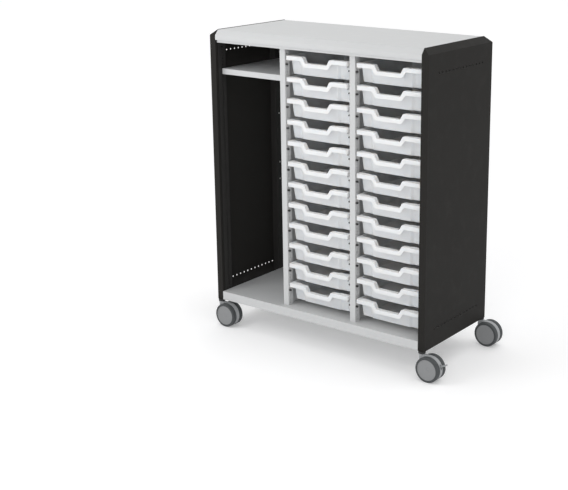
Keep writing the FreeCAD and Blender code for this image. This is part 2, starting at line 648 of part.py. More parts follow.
def caster_wheel():
    """Outer wheel on the +Y side: tread, recessed ring and a closed hub cap over the axle's end."""
    y0, y1 = WHEEL_INNER, WHEEL_INNER + WHEEL_WIDTH
    bore = AXLE_RADIUS + RUNNING_FIT
    outline = [(bore, y0), (WHEEL_RADIUS - WHEEL_EDGE, y0), (WHEEL_RADIUS, y0 + WHEEL_EDGE),
               (WHEEL_RADIUS, y1 - 2 * WHEEL_EDGE), (WHEEL_RADIUS - WHEEL_EDGE, y1 - WHEEL_EDGE / 2),
               (HUB_RADIUS + WHEEL_EDGE / 2, y1 - WHEEL_EDGE / 2), (HUB_RADIUS, y1 - WHEEL_EDGE),
               (HUB_RADIUS - 2 * WHEEL_EDGE, y1), (0, y1), (0, y1 - WHEEL_CAP), (bore, y1 - WHEEL_CAP)]
    points = [Vec(CASTER_TRAIL + r, y, WHEEL_RADIUS) for r, y in outline]
    face = Part.Face(Part.makePolygon(points + points[:1]))
    return face.revolve(Vec(CASTER_TRAIL, 0, WHEEL_RADIUS), Vec(0, 1, 0), 360)


def brake_lever():
    """Lever that pivots in the housing and ends in a pedal beyond the wheels."""
    pivot_x, pivot_z = CASTER_TRAIL + LEVER_PIVOT_X, WHEEL_RADIUS + LEVER_PIVOT_Z
    half_width, half_pedal = LEVER_WIDTH / 2, PEDAL_WIDTH / 2
    z0, z1 = pivot_z - LEVER_THICKNESS / 2, pivot_z + LEVER_THICKNESS / 2
    tip = pivot_x + LEVER_REACH
    arm = box(pivot_x, tip, -half_width, half_width, z0, z1)
    pedal = box(tip - PEDAL_LENGTH, tip, -half_pedal, half_pedal, z0, z1)
    boss = rod(LEVER_BOSS_RADIUS, (pivot_x, -half_width, pivot_z), (0, 1, 0), LEVER_WIDTH)
    eye = rod(LEVER_PIN_RADIUS + RUNNING_FIT, (pivot_x, -LEVER_WIDTH, pivot_z), (0, 1, 0), 2 * LEVER_WIDTH)
    lever = fuse([arm, pedal, boss]).cut(eye)
    lever.rotate(Vec(pivot_x, 0, pivot_z), Vec(0, 1, 0), -LEVER_SLOPE)
    return lever


CASTERS = {
    "front_left": (-CASTER_X, -CASTER_Y, False),
    "front_right": (CASTER_X, -CASTER_Y, True),
    "rear_left": (-CASTER_X, CASTER_Y, True),
    "rear_right": (CASTER_X, CASTER_Y, False),
}


def export(name, shapes):
    """Write one node, made of one or more separate solids."""
    shape = shapes[0] if len(shapes) == 1 else Part.makeCompound(shapes)
    shape.exportStep(os.path.join("parts", name + ".step"))


def build_carcass():
    """Fixed pieces of the cabinet."""
    rail = top_rail()
    panel = side_panel()
    rear_rail = mirrored_y(rail).cut(screw_holes())
    export("worktop", [worktop()])
    export("front_top_rail", [rail])
    export("rear_top_rail", [rear_rail])
    export("worktop_stiffeners", worktop_stiffeners())
    export("right_side_panel", [panel])
    export("left_side_panel", [mirrored_x(panel)])
    export("side_posts", side_posts())
    export("divider_posts", divider_posts())
    export("divider_webs", divider_webs())
    export("base_shelf", [base_shelf().cut(screw_holes())])
    export("back_panel", [back_panel()])
    export("back_panel_screws", back_panel_screws())
    export("adjustable_shelf", [adjustable_shelf()])
    export("shelf_clips", shelf_clips())
    export("tray_runners", in_both_columns(runner))
    export("runner_clips", in_both_columns(runner_clip))


def build_trays():
    """Trays of the middle bay and of the right bay, numbered from the top."""
    one = tray()
    for column, x in zip(("middle", "right"), TRAY_COLUMN_X):
        for number, rim in enumerate(tray_rows(), start=1):
            export(f"tray_{column}_{number:02d}", [placed(one, x, TRAY_FRONT, rim)])


def build_casters():
    """Four swivel casters, two of them with a brake."""
    stem, socket, axle = caster_stem(), caster_socket(), caster_axle()
    rear_wheel = caster_wheel()
    front_wheel = mirrored_y(rear_wheel)
    export("caster_sockets", [placed(socket, x, y) for x, y, _ in CASTERS.values()])
    export("caster_stems", [placed(stem, x, y) for x, y, _ in CASTERS.values()])
    for name, (x, y, brake) in CASTERS.items():
        export(f"{name}_caster_housing", [placed(caster_housing(brake), x, y)])
        export(f"{name}_caster_axle", [placed(axle, x, y)])
        export(f"{name}_caster_wheel_front", [placed(front_wheel, x, y)])
        export(f"{name}_caster_wheel_rear", [placed(rear_wheel, x, y)])
        if brake:
            export(f"{name}_brake_lever", [placed(brake_lever(), x, y)])


def main():
    os.makedirs("parts", exist_ok=True)
    build_carcass()
    build_trays()
    build_casters()


main()
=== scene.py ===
"""Mobile tray storage cabinet: its pieces, finishes and stage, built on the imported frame."""

import math

import bmesh
import bpy
from mathutils import Matrix, Vector


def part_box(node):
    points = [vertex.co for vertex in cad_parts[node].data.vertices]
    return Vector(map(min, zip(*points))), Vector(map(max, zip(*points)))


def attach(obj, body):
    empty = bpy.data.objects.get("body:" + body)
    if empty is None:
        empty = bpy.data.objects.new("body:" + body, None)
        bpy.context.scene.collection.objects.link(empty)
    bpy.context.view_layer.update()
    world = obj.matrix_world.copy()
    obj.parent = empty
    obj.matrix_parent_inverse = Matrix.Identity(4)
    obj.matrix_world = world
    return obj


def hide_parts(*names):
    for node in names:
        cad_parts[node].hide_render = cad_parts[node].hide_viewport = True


bl_info = {
    "name": "Tray storage cabinet",
    "version": (1, 0, 0),
    "blender": (4, 5, 0),
    "location": "View3D > Sidebar > Cabinet",
    "description": "Models a mobile steel cabinet with sliding trays, its finishes and its stage",
    "category": "Add Mesh",
}

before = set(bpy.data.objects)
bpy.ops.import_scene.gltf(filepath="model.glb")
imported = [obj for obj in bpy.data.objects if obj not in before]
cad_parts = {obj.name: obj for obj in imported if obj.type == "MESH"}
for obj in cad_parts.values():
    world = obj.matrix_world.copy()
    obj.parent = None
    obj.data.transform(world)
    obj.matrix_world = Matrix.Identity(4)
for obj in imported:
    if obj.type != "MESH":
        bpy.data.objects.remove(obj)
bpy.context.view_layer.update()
MM = 0.001
NEAR = 1 * MM            # places closer than this count as the same where parts are picked
WELD = 0.01 * MM         # vertices closer than this become one
SOFT = 0.5 * MM          # usual rounding of small edges
STEP = 1 * MM            # usual step or chamfer of a turned or moulded part
FINE = 0.25 * MM         # smallest step of a moulded or stamped face
CRISP = 0.2 * MM         # rounding of a turned edge
DRILL = 8 * MM           # length of a cutter through the sheet
FACING = 0.5             # least share of a face's normal along the way that it faces
CORNER = math.radians(50)   # least angle of the edges that a bevel softens
SMOOTH = math.radians(25)   # largest angle that is shaded smooth
FOLD = math.radians(20)     # least angle of a fold
LARGE_ROUND, ROUND, SMALL_ROUND, VENT_ROUND = 96, 64, 32, 20   # sides of round pieces
QUARTER_TURN = math.pi / 2
GLOW, GLOW_TINT = 10 * MM, (1.0, 0.9, 0.82)   # how far light goes into milky plastic
SIDES = (-1, 1)          # left and right, or front and rear
X_AXIS, Y_AXIS, Z_AXIS = Vector((1, 0, 0)), Vector((0, 1, 0)), Vector((0, 0, 1))
UPRIGHT = Matrix.Rotation(QUARTER_TURN, 4, "X")

CASTERS = ("front_left", "front_right", "rear_left", "rear_right")
WHEELS = ("front", "rear")
COLUMNS = ("middle", "right")
ROWS = 12
VENTS = 14
SCREWS = 5
RIBS = 3                 # raised bars on a brake pedal
DIVIDER_SLOTS = 86
SIDE_SLOTS = 88

FLOOR_SIZE = 60          # side of the floor, in metres
SENSOR = 36.0            # width of the camera's sensor, in millimetres
FROM_ABOVE = Vector((-0.1, -0.3, -1))


# Settings

def length(name, description, default):
    """A size setting, given in millimetres."""
    return bpy.props.FloatProperty(name=name, description=description, default=default * MM, min=0.0,
                                   unit="LENGTH")


def colour(name, description, default):
    """A linear colour setting."""
    return bpy.props.FloatVectorProperty(name=name, description=description, default=default, size=3, min=0.0,
                                         max=1.0, subtype="COLOR")


def amount(name, description, default):
    """A plain number setting."""
    return bpy.props.FloatProperty(name=name, description=description, default=default, min=0.0)


def angle(name, description, degrees):
    """An angle setting, given in degrees."""
    return bpy.props.FloatProperty(name=name, description=description, default=math.radians(degrees),
                                   subtype="ANGLE")


def place(name, description, default):
    """A place setting, in metres."""
    return bpy.props.FloatVectorProperty(name=name, description=description, default=default, size=3,
                                         subtype="XYZ", unit="LENGTH")


class CabinetSteel(bpy.types.PropertyGroup):
    """Folded sheet of the carcass."""
    sheet: length("Sheet", "Thickness of the folded steel", 1.5)
    bend: length("Bend", "Outer bend radius of the folds", 1.2)
    edge: length("Cut edge", "Rounding of the sheet's cut edges", 0.3)
    bevel_depth: length("Bevel depth", "Depth of the worktop's front bevel", 19)
    bevel_height: length("Bevel height", "Height of that bevel", 24)
    side_lip: length("Side lip", "Inward lip of a side panel's edges", 16)
    vent_pitch: length("Vent pitch", "Distance between vent holes", 25.4)
    vent_radius: length("Vent radius", "Radius of a vent hole", 3.6)
    vent_low: length("Lower vents", "Lower row, above the panel's bottom edge", 77)
    vent_high: length("Upper vents", "Upper row, below the panel's ridge", 98.5)
    slot_pitch: length("Slot pitch", "Distance between the slots of a post", 12.7)
    slot_width: length("Slot width", "Length of a slot, from front to rear", 9)
    slot_height: length("Slot height", "Height of a slot", 3.4)
    slot_setback: length("Slot setback", "From a divider's face to its slots' middle", 14.5)
    first_slot: length("First slot", "Lowest slot above the base shelf", 10)
    post_depth: length("Post depth", "Depth of a divider post", 32)
    side_post_depth: length("Side post depth", "Depth of a side panel's post", 47)
    flange_return: length("Flange return", "Inward return of the base's flanges", 15)
    shelf_return: length("Shelf return", "Inward return of the other shelf's lips", 12)
    light_paint: colour("Light paint", "Coat of the worktop, dividers and shelves", (0.595, 0.603, 0.607))
    dark_paint: colour("Dark paint", "Coat of the side panels", (0.0235, 0.0225, 0.021))
    inner_paint: colour("Inner paint", "Coat of the side panels' posts", (0.024, 0.0232, 0.022))
    screw_head: length("Screw head", "Radius of a screw's head", 4)
    screw_rise: length("Screw rise", "Height of a screw's head", 2.2)
    clip_width: length("Shelf clip", "Width of a shelf clip", 13)
    clip_ledge: length("Clip ledge", "Its reach under the shelf", 12)
    post_screws: length("Post screws", "Rear post's screws, behind the middle", 172)
    post_screw_low: length("Low post screw", "Height of the post's lowest screw", 592)
    post_screw_middle: length("Middle post screw", "Height of the middle one", 672)
    post_screw_high: length("High post screw", "Height of the highest one", 900)


class CabinetTrays(bpy.types.PropertyGroup):
    """Moulded trays and their runners."""
    wall: length("Wall", "Wall of a tray", 2)
    lip: length("Lip", "Height of the rim's lip", 17)
    body_top: length("Body width", "Width of a tray's body under the rim", 297)
    body_bottom: length("Bottom width", "Width of the body at its bottom", 287)
    inset_top: length("End inset", "From the rim's face to the body", 27)
    inset_bottom: length("Bottom inset", "The same at the bottom", 37)
    corner: length("Corner", "Corner radius of the body", 6)
    panel_width: length("Panel width", "Width of each end's panel, under the rim", 189)
    panel_bottom: length("Panel bottom", "Width of that panel at the bottom", 175)
    panel_step: length("Panel step", "Width of the slanted step beside it", 12)
    panel_proud: length("Panel depth", "How far that panel stands out", 6.5)
    dip_top: length("Dip top", "Width of the handle dip at the rim", 138)
    dip_floor: length("Dip floor", "Width of the handle dip's floor", 111)
    dip_depth: length("Dip depth", "Depth of the handle dip", 24)
    skirt_top: length("Skirt top", "Width of the lip's deeper part", 158)
    skirt_floor: length("Skirt floor", "Width of that part at its lowest", 120)
    skirt_drop: length("Skirt drop", "How much lower the lip hangs there", 24)
    dip_round: length("Dip rounding", "Rounding of the dip's corners", 3)
    foot_round: length("Foot rounding", "Rounding of the body's bottom edges", 3)
    edge: length("Edge", "Rounding of the moulded edges", 0.8)
    ledge: length("Ledge", "Width of a runner's ledge", 14)
    guide: length("Guide", "Height of a runner's inner lip", 7)
    web: length("Web", "Height of a runner's web", 14)
    lug_width: length("Lug width", "How far a locking clip stands out", 9)
    lug_height: length("Lug height", "Height of a locking clip", 6)
    lug_nose: length("Lug nose", "Length of a locking clip's stepped nose", 2)
    lug_round: length("Lug rounding", "Rounding of a locking clip", 0.6)
    milk: amount("Milk", "Share of the light that goes into their plastic", 0.9)
    plastic: colour("Plastic", "Colour of the trays", (0.925, 0.92, 0.915))
    runner_paint: colour("Runner paint", "Colour of the runners", (0.56, 0.56, 0.56))
    clip_plastic: colour("Clip plastic", "Colour of the locking clips", (0.02, 0.02, 0.02))


class CabinetCasters(bpy.types.PropertyGroup):
    """Twin-wheel casters."""
    hub_radius: length("Hub radius", "Outer radius of a wheel's hub face", 43)
    hub_lip: length("Hub lip", "Width of the hub's raised ring", 3)
    dish_radius: length("Dish radius", "Radius of the hub face's flat middle", 34)
    dish_depth: length("Dish depth", "Depth of the hub face's dish", 1.2)
    boss_radius: length("Boss radius", "Radius of the hub face's boss", 9)
    hub_skirt: length("Hub skirt", "Height of the widest part of the hub", 3)
    hub_draft: length("Hub draft", "How much narrower it is there", 0.2)
    hub_foot: length("Hub foot", "How much narrower it is at its back", 3.2)
    tread_round: length("Tread rounding", "Shoulder radius of the tread", 2.5)
    tyre_seat: length("Tyre seat", "How far the tyre reaches over the hub", 3)
    tyre_step: length("Tyre step", "How far its side lies behind the hub's", 1)
    bore: length("Bore", "Radius of a wheel's bore", 4.05)
    cap: length("Cap", "Thickness of the hub over the axle's end", 2)
    neck_radius: length("Neck radius", "Radius of the swivel neck", 13)
    neck_height: length("Neck height", "Height of the swivel neck", 31)
    neck_waist: length("Neck waist", "How much thinner it is below its head", 1.2)
    neck_shoulder: amount("Neck shoulder", "Share of its height where it widens", 0.7)
    neck_head: amount("Neck head", "Share of its height where its head starts", 0.75)
    collar_radius: length("Collar radius", "Radius of the fixed collar", 15)
    stem_radius: length("Stem radius", "Radius of the stem", 4.75)
    pivot_radius: length("Pivot radius", "Radius of the neck's pin", 4)
    pivot_length: length("Pivot length", "Length of that pin below the collar", 26)
    stem_length: length("Stem length", "Length of the stem above the collar", 56)
    hood_width: length("Hood width", "Width of the hood between the wheels", 20)
    hood_radius: length("Hood radius", "Radius of the hood about the axle", 51.5)
    hood_floor: length("Hood floor gap", "From the floor up to the hood's cut", 10)
    hood_round: length("Hood rounding", "Rounding of the hood's edges", 1.2)
    wheel_gap: length("Wheel gap", "Gap between the neck and the treads", 2)
    trail: length("Trail", "From the swivel axis to the axle", 41)
    lever_out: length("Lever pivot", "From the axle out to the lever's pivot", 36)
    lever_up: length("Lever height", "From the axle up to that pivot", 14)
    lever_width: length("Lever width", "Width of the brake lever's arm", 10)
    lever_sheet: length("Lever thickness", "Thickness of the brake lever", 4.5)
    lever_reach: length("Lever reach", "Length of the brake lever", 42)
    lever_slope: angle("Lever slope", "Rise of the lever, brake off", 22)
    lever_slot: length("Lever slot", "Height of its slot in the hood", 20)
    lever_back: length("Lever room", "How far it reaches behind the pivot", 5)
    lever_eye: length("Lever eye", "How much thicker it is at its pivot", 1.25)
    pedal_width: length("Pedal width", "Width of the brake pedal", 14)
    pedal_length: length("Pedal length", "Length of the brake pedal", 10)
    tread: colour("Tread", "Colour of the tread", (0.062, 0.067, 0.07))
    hub: colour("Hub", "Colour of the hub faces", (0.25, 0.255, 0.26))
    collar: colour("Collar", "Colour of the fixed collar", (0.02, 0.02, 0.02))
    hood: colour("Hood", "Colour of the hood and the brake lever", (0.36, 0.37, 0.38))
    zinc: colour("Zinc", "Colour of stems, axles and screws", (0.62, 0.62, 0.61))


class CabinetStage(bpy.types.PropertyGroup):
    """Camera, lights and floor."""
    eye: place("Eye", "Place of the camera", (2.8629, -3.9466, 1.9143))
    turn: angle("Turn", "Camera's turn to the left", 35.421)
    dip: angle("Dip", "Camera's view below the horizontal", 14.995)
    lens: amount("Lens", "Focal length, for a sensor 36 mm wide", 74.604)
    shift: bpy.props.FloatVectorProperty(name="Shift", description="Sideways and upward shift of the frame",
                                         default=(-0.13188, -0.08044), size=2)
    floor: colour("Floor", "Colour of the floor", (0.88, 0.88, 0.885))
    floor_lift: amount("Floor lift", "Brightness added where the camera sees it", 0.21)
    key: amount("Key", "Watts of the lamp at the front left", 9)
    key_place: place("Key place", "Place of that lamp", (-1.0, -1.7, 1.7))
    fill: amount("Fill", "Watts of the lamp at the front right", 22)
    fill_place: place("Fill place", "Place of that lamp", (1.8, -3.4, 1.6))
    lamp_size: length("Lamp size", "Diameter of both lamps", 1200)
    lamp_aim: place("Lamp aim", "Point that both lamps face", (0.0, 0.0, 0.7))
    overhead: amount("Overhead", "Strength of the broad light from above", 0.6)
    overhead_spread: angle("Overhead spread", "Softness of the light from above", 60)
    sky: amount("Sky", "Strength of the even light from all sides", 0.72)


# Modelling helpers

def leave_edit():
    """Object mode, with nothing selected."""
    if bpy.context.object and bpy.context.object.mode != "OBJECT":
        bpy.ops.object.mode_set(mode="OBJECT")
    bpy.ops.object.select_all(action="DESELECT")


def focus(obj):
    """Make one object the only selected and active one."""
    leave_edit()
    obj.select_set(True)
    bpy.context.view_layer.objects.active = obj


def start(name, primitive, **settings):
    """Add a primitive, put its place into its mesh and open it in edit mode, all selected."""
    leave_edit()
    getattr(bpy.ops.mesh, f"primitive_{primitive}_add")(**settings)
    obj = bpy.context.object
    obj.name = obj.data.name = name
    bpy.ops.object.transform_apply(location=True, rotation=True, scale=True)
    bpy.ops.object.mode_set(mode="EDIT")
    bpy.ops.mesh.select_mode(type="VERT")
    bpy.ops.mesh.select_all(action="SELECT")
    return obj


def block(name, low, high):
    """Box between two corners, in edit mode."""
    low, high = Vector(low), Vector(high)
    obj = start(name, "cube", size=1, location=(low + high) / 2)
    bpy.ops.transform.resize(value=high - low, center_override=(low + high) / 2)
    return obj


def drum(name, radius, width, vertices, place=(0, 0, 0)):
    """Cylinder along the Y axis, in edit mode."""
    return start(name, "cylinder", vertices=vertices, radius=radius, depth=width, location=place,
                 rotation=(QUARTER_TURN, 0, 0))


def draw(name, points):
    """Line drawn by extruding one vertex from point to point, in edit mode, all selected."""
    points = [Vector(p) for p in points]
    obj = start(name, "plane", size=MM, location=points[0])
    bpy.ops.mesh.merge(type="CENTER")
    for here, there in zip(points, points[1:]):
        bpy.ops.mesh.extrude_vertices_move(TRANSFORM_OT_translate={"value": there - here})
    bpy.ops.mesh.select_all(action="SELECT")
    return obj


def pick(obj, kind, test):
    """Select only the vertices, edges or faces that pass a test of themselves and of their middle."""
    bpy.ops.mesh.select_mode(type=kind)
    bpy.ops.mesh.select_all(action="DESELECT")
    shape = bmesh.from_edit_mesh(obj.data)
    for part in {"VERT": shape.verts, "EDGE": shape.edges, "FACE": shape.faces}[kind]:
        corners = [part.co] if kind == "VERT" else [v.co for v in part.verts]
        if test(part, sum(corners, Vector()) / len(corners)):
            part.select_set(True)
    if kind == "VERT":
        shape.select_flush(True)
    bmesh.update_edit_mesh(obj.data)


def pull(obj, test, *offset):
    """Move the vertices whose places pass a test."""
    pick(obj, "VERT", lambda vert, at: test(at))
    move(*offset)


def weld():
    """Join the vertices that lie on each other."""
    bpy.ops.mesh.select_all(action="SELECT")
    bpy.ops.mesh.remove_doubles(threshold=WELD)


def facing(direction):
    """Test for faces that are turned a given way."""
    return lambda face, at: face.normal.dot(direction) > FACING


def is_open(edge, at):
    """Whether an edge ends its surface."""
    return edge.is_boundary


def is_fold(edge):
    """Whether two faces meet at an angle along an edge."""
    return len(edge.link_faces) == 2 and edge.calc_face_angle() > FOLD


def move(*offset):
    """Move what is selected."""
    bpy.ops.transform.translate(value=offset)


def extrude(*offset):
    """Extrude what is selected."""
    bpy.ops.mesh.extrude_region_move(TRANSFORM_OT_translate={"value": offset})


def round_folds(obj, radius, segments=3, test=lambda at: True):
    """Round the folded edges whose places pass a test."""
    pick(obj, "EDGE", lambda edge, at: is_fold(edge) and test(at))
    bpy.ops.mesh.bevel(offset=radius, segments=segments, affect="EDGES")


def face_out(obj, probe, direction):
    """Turn all faces the same way, so that those that pass a test face a direction."""
    weld()
    bpy.ops.mesh.normals_make_consistent(inside=False)
    shape = bmesh.from_edit_mesh(obj.data)
    outward = sum(face.normal.dot(Vector(direction)) * face.calc_area() for face in shape.faces
                  if probe(face.calc_center_median()))
    if outward < 0:
        bpy.ops.mesh.flip_normals()


def modify(obj, kind, **settings):
    """Add a modifier and apply it."""
    focus(obj)
    modifier = obj.modifiers.new(kind.title(), kind)
    for key, value in settings.items():
        setattr(modifier, key, value)
    bpy.ops.object.modifier_apply(modifier=modifier.name)


def thicken(obj, thickness, edge):
    """Give a sheet its thickness behind its faces, and soften its cut edges."""
    modify(obj, "SOLIDIFY", thickness=thickness, offset=-1, use_even_offset=True, use_quality_normals=True)
    modify(obj, "BEVEL", width=edge, segments=2, limit_method="ANGLE", angle_limit=CORNER)


def carve(obj, cutter, operation="DIFFERENCE"):
    """Cut a shape from a piece, or join it to it, and remove the shape."""
    leave_edit()
    modify(obj, "BOOLEAN", object=cutter, operation=operation, solver="EXACT")
    bpy.data.objects.remove(cutter)


def repeat(obj, count, step):
    """Repeat a shape along a line."""
    modify(obj, "ARRAY", count=count, use_relative_offset=False, use_constant_offset=True,
           constant_offset_displace=step)


def twin(obj, name, matrix):
    """Copy of a piece with its own mesh, moved or mirrored."""
    leave_edit()
    copy = obj.copy()
    copy.data = obj.data.copy()
    copy.name = copy.data.name = name
    copy.data.transform(matrix)
    if matrix.determinant() < 0:
        copy.data.flip_normals()
    bpy.context.collection.objects.link(copy)
    return copy


def merge(name, objects):
    """One piece from several."""
    leave_edit()
    for obj in objects:
        obj.select_set(True)
    bpy.context.view_layer.objects.active = objects[0]
    bpy.ops.object.join()
    obj = bpy.context.object
    obj.name = obj.data.name = name
    return obj


def dress(obj, material, slot, *nodes, body="cabinet"):
    """Give a finished piece its smooth shading, material and body, and hide the nodes that it stands for. The
    slot is not used.
    """
    focus(obj)
    bpy.ops.object.shade_smooth_by_angle(angle=SMOOTH)
    modify(obj, "WEIGHTED_NORMAL", keep_sharp=True)
    obj.data.materials.clear()
    obj.data.materials.append(material)
    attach(obj, body)
    if nodes:
        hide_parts(*nodes)


def turned(name, section, steps=ROUND):
    """Round piece about the Y axis: a section of (radius, y) points, spun."""
    obj = draw(name, [(r, y, 0) for r, y in section])
    bpy.ops.mesh.spin(steps=steps, angle=2 * math.pi, center=(0, 0, 0), axis=(0, 1, 0))
    weld()
    bpy.ops.mesh.normals_make_consistent(inside=False)
    leave_edit()
    return obj


def shift(x=0.0, y=0.0, z=0.0):
    """Matrix of a move."""
    return Matrix.Translation((x, y, z))


def flip(axis):
    """Matrix that mirrors across the cabinet's middle, along one axis."""
    return Matrix.Scale(-1, 4, axis)


# Finishes

class Wire:
    """A shader socket or a number, whose arithmetic adds Math nodes."""

    def __init__(self, paint, socket):
        self.paint, self.socket = paint, socket

    def maths(self, operation, first, second):
        return self.paint.node("ShaderNodeMath", {"operation": operation}, {0: first, 1: second})

    def __add__(self, other):
        return self.maths("ADD", self, other)

    def __radd__(self, other):
        return self.maths("ADD", other, self)

    def __sub__(self, other):
        return self.maths("SUBTRACT", self, other)

    def __rsub__(self, other):
        return self.maths("SUBTRACT", other, self)

    def __mul__(self, other):
        return self.maths("MULTIPLY", self, other)

    def __rmul__(self, other):
        return self.maths("MULTIPLY", other, self)


class Nodes:
    """A node tree, filled node by node."""

    def __init__(self, tree):
        self.tree = tree

    def node(self, kind, settings, inputs, output=0):
        """Add a node: its settings first, then the values or links of its sockets."""
        node = self.tree.nodes.new(kind)
        for key, value in settings.items():
            setattr(node, key, value)
        for key, value in inputs.items():
            self.feed(node.inputs[key], value)
        return Wire(self, node.outputs[output])

    def feed(self, socket, value):
        """Link a socket, or set its value."""
        if isinstance(value, Wire):
            self.tree.links.new(value.socket, socket)
        else:
            socket.default_value = value

    def seen(self):
        """1 where the camera or a reflection sees, 0 where a surface gathers its light."""
        camera, gloss, glass = [self.node("ShaderNodeLightPath", {}, {}, f"Is {kind} Ray")
                                for kind in ("Camera", "Glossy", "Transmission")]
        return camera.maths("MAXIMUM", camera, gloss.maths("MAXIMUM", gloss, glass))


class Paint(Nodes):
    """A material and its nodes."""

    def __init__(self, name):
        self.material = bpy.data.materials.new(name)
        self.material.use_nodes = True
        super().__init__(self.material.node_tree)
        self.surface = self.tree.nodes["Principled BSDF"]
        self.place = self.node("ShaderNodeTexCoord", {}, {}, "Object")

    def set(self, **inputs):
        """Values or links of the surface's own sockets, with underscores for spaces."""
        for key, value in inputs.items():
            self.feed(self.surface.inputs[key.replace("_", " ")], value)

    def noise(self, scale, detail=2.0, roughness=0.5, where=None):
        """Noise from 0 to 1 on object coordinates, in features per metre."""
        return self.node("ShaderNodeTexNoise", {}, {"Vector": where or self.place, "Scale": scale,
                                                    "Detail": detail, "Roughness": roughness})

    def ramp(self, value, low, high):
        """Value taken from a narrow band out to 0 and 1."""
        return self.node("ShaderNodeMapRange", {"clamp": True},
                         {"Value": value, "From Min": low, "From Max": high, "To Min": 0.0, "To Max": 1.0})

    def mix(self, factor, first, second):
        """Blend of two colours."""
        def rgba(value):
            return value if isinstance(value, Wire) else (*value, 1)
        return self.node("ShaderNodeMix", {"data_type": "RGBA"},
                         {"Factor": factor, 6: rgba(first), 7: rgba(second)}, 2)

    def bump(self, height, distance, strength=1.0):
        """Bump from a height, into the surface's normal."""
        self.set(Normal=self.node("ShaderNodeBump", {},
                                  {"Height": height, "Distance": distance, "Strength": strength}))


def shade(base, factor):
    """A colour made darker or lighter."""
    return tuple(min(1.0, c * factor) for c in base)


def powder_coat(name, base, roughness=0.42, peel=0.05, gloss=0.5):
    """Baked powder paint: fine orange peel, faint drifts of tone and handled patches."""
    paint = Paint(name)
    drift = paint.noise(5.0, 3.0)
    speck = paint.noise(1600.0, 1.0)
    worn = paint.ramp(paint.noise(18.0, 5.0, 0.6), 0.52, 0.75)
    tone = paint.mix(drift, shade(base, 0.96), shade(base, 1.03))
    paint.set(Base_Color=paint.mix(speck * 0.25 + worn * 0.15, tone, shade(base, 0.9)))
    paint.set(Roughness=roughness + 0.12 * drift - 0.1 * worn, Specular_IOR_Level=gloss)
    paint.bump(paint.noise(650.0, 2.0), peel * MM * 2)
    return paint.material


def moulded(name, base, roughness=0.4, grain=0.04, milk=0.0):
    """Moulded plastic: spark texture, soft flow marks and light scuffs. Milk lets light into thin walls."""
    paint = Paint(name)
    paint.set(Subsurface_Weight=milk, Subsurface_Radius=GLOW_TINT, Subsurface_Scale=GLOW)
    flow = paint.noise(9.0, 2.0)
    scuff = paint.ramp(paint.noise(60.0, 6.0, 0.7), 0.62, 0.72)
    tone = paint.mix(flow, shade(base, 0.97), shade(base, 1.02))
    paint.set(Base_Color=paint.mix(scuff * 0.25, tone, shade(base, 0.93)))
    paint.set(Roughness=roughness + 0.1 * flow + 0.15 * scuff)
    paint.bump(paint.noise(1200.0, 2.0), grain * MM * 2)
    return paint.material


def rubber(name, base):
    """Tread rubber: dull, with dust in its pores and scuffed patches."""
    paint = Paint(name)
    pores = paint.noise(900.0, 3.0)
    dust = paint.ramp(paint.noise(45.0, 4.0, 0.65), 0.5, 0.75)
    paint.set(Base_Color=paint.mix(dust * 0.5, shade(base, 0.9), shade(base, 1.5)))
    paint.set(Roughness=0.72 + 0.15 * dust)
    paint.bump(pores, 0.12 * MM)
    return paint.material


def zinc_plate(name, base):
    """Zinc-plated steel: drawn grain along the piece and cloudy patches."""
    paint = Paint(name)
    drawn = paint.node("ShaderNodeMapping", {}, {"Vector": paint.place, "Scale": (900.0, 900.0, 60.0)})
    grain = paint.noise(1.0, 2.0, 0.5, drawn)
    cloud = paint.noise(70.0, 3.0)
    paint.set(Base_Color=paint.mix(cloud, shade(base, 0.85), shade(base, 1.05)))
    paint.set(Roughness=0.28 + 0.2 * grain, Metallic=1.0)
    paint.bump(grain, 0.02 * MM)
    return paint.material


# Places that several pieces share, read from the frame

WORKTOP_LOW, WORKTOP_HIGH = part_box("worktop")
RAIL_LOW, RAIL_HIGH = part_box("front_top_rail")
PANEL_LOW, PANEL_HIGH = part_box("right_side_panel")
BASE_LOW, BASE_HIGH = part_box("base_shelf")
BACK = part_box("back_panel")[1].y
POSTS_LOW, POSTS_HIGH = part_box("divider_posts")
SIDE_POSTS_LOW, SIDE_POSTS_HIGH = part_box("side_posts")
SHELF_LOW, SHELF_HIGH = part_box("adjustable_shelf")
TRAY_LOW, TRAY_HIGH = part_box("tray_middle_01")
INNER_X = PANEL_LOW.x
HALF_DEPTH = PANEL_HIGH.y
TOP = WORKTOP_HIGH.z
RIDGE = PANEL_HIGH.z
STACK_PITCH = TRAY_HIGH.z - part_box("tray_middle_02")[1].z
COLUMN_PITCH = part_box("tray_right_01")[1].x - TRAY_HIGH.x
DIVIDER_WIDTH = 3 * COLUMN_PITCH - 2 * INNER_X
DIVIDER_X = COLUMN_PITCH / 2
RIMS = [TRAY_HIGH.z - row * STACK_PITCH for row in range(ROWS)]


def settings(name):
    """One of the scene's setting groups."""
    return getattr(bpy.context.scene, "cabinet_" + name)


def folded_strip(name, outline, axis, low, high, outward):
    """Sheet folded along one axis, from the outer line of its section, its faces turned outward."""
    steel = settings("steel")
    place, way = {"X": (lambda u, v: (low, u, v), X_AXIS), "Y": (lambda u, v: (u, low, v), Y_AXIS),
                  "Z": (lambda u, v: (u, v, low), Z_AXIS)}[axis]
    obj = draw(name, [place(u, v) for u, v in outline])
    extrude(*(way * (high - low)))
    round_folds(obj, steel.bend)
    face_out(obj, lambda at: True, outward)
    thicken(obj, steel.sheet, steel.edge)
    return obj


def finished():
    """End of an operator: object mode, nothing selected."""
    leave_edit()
    return {"FINISHED"}


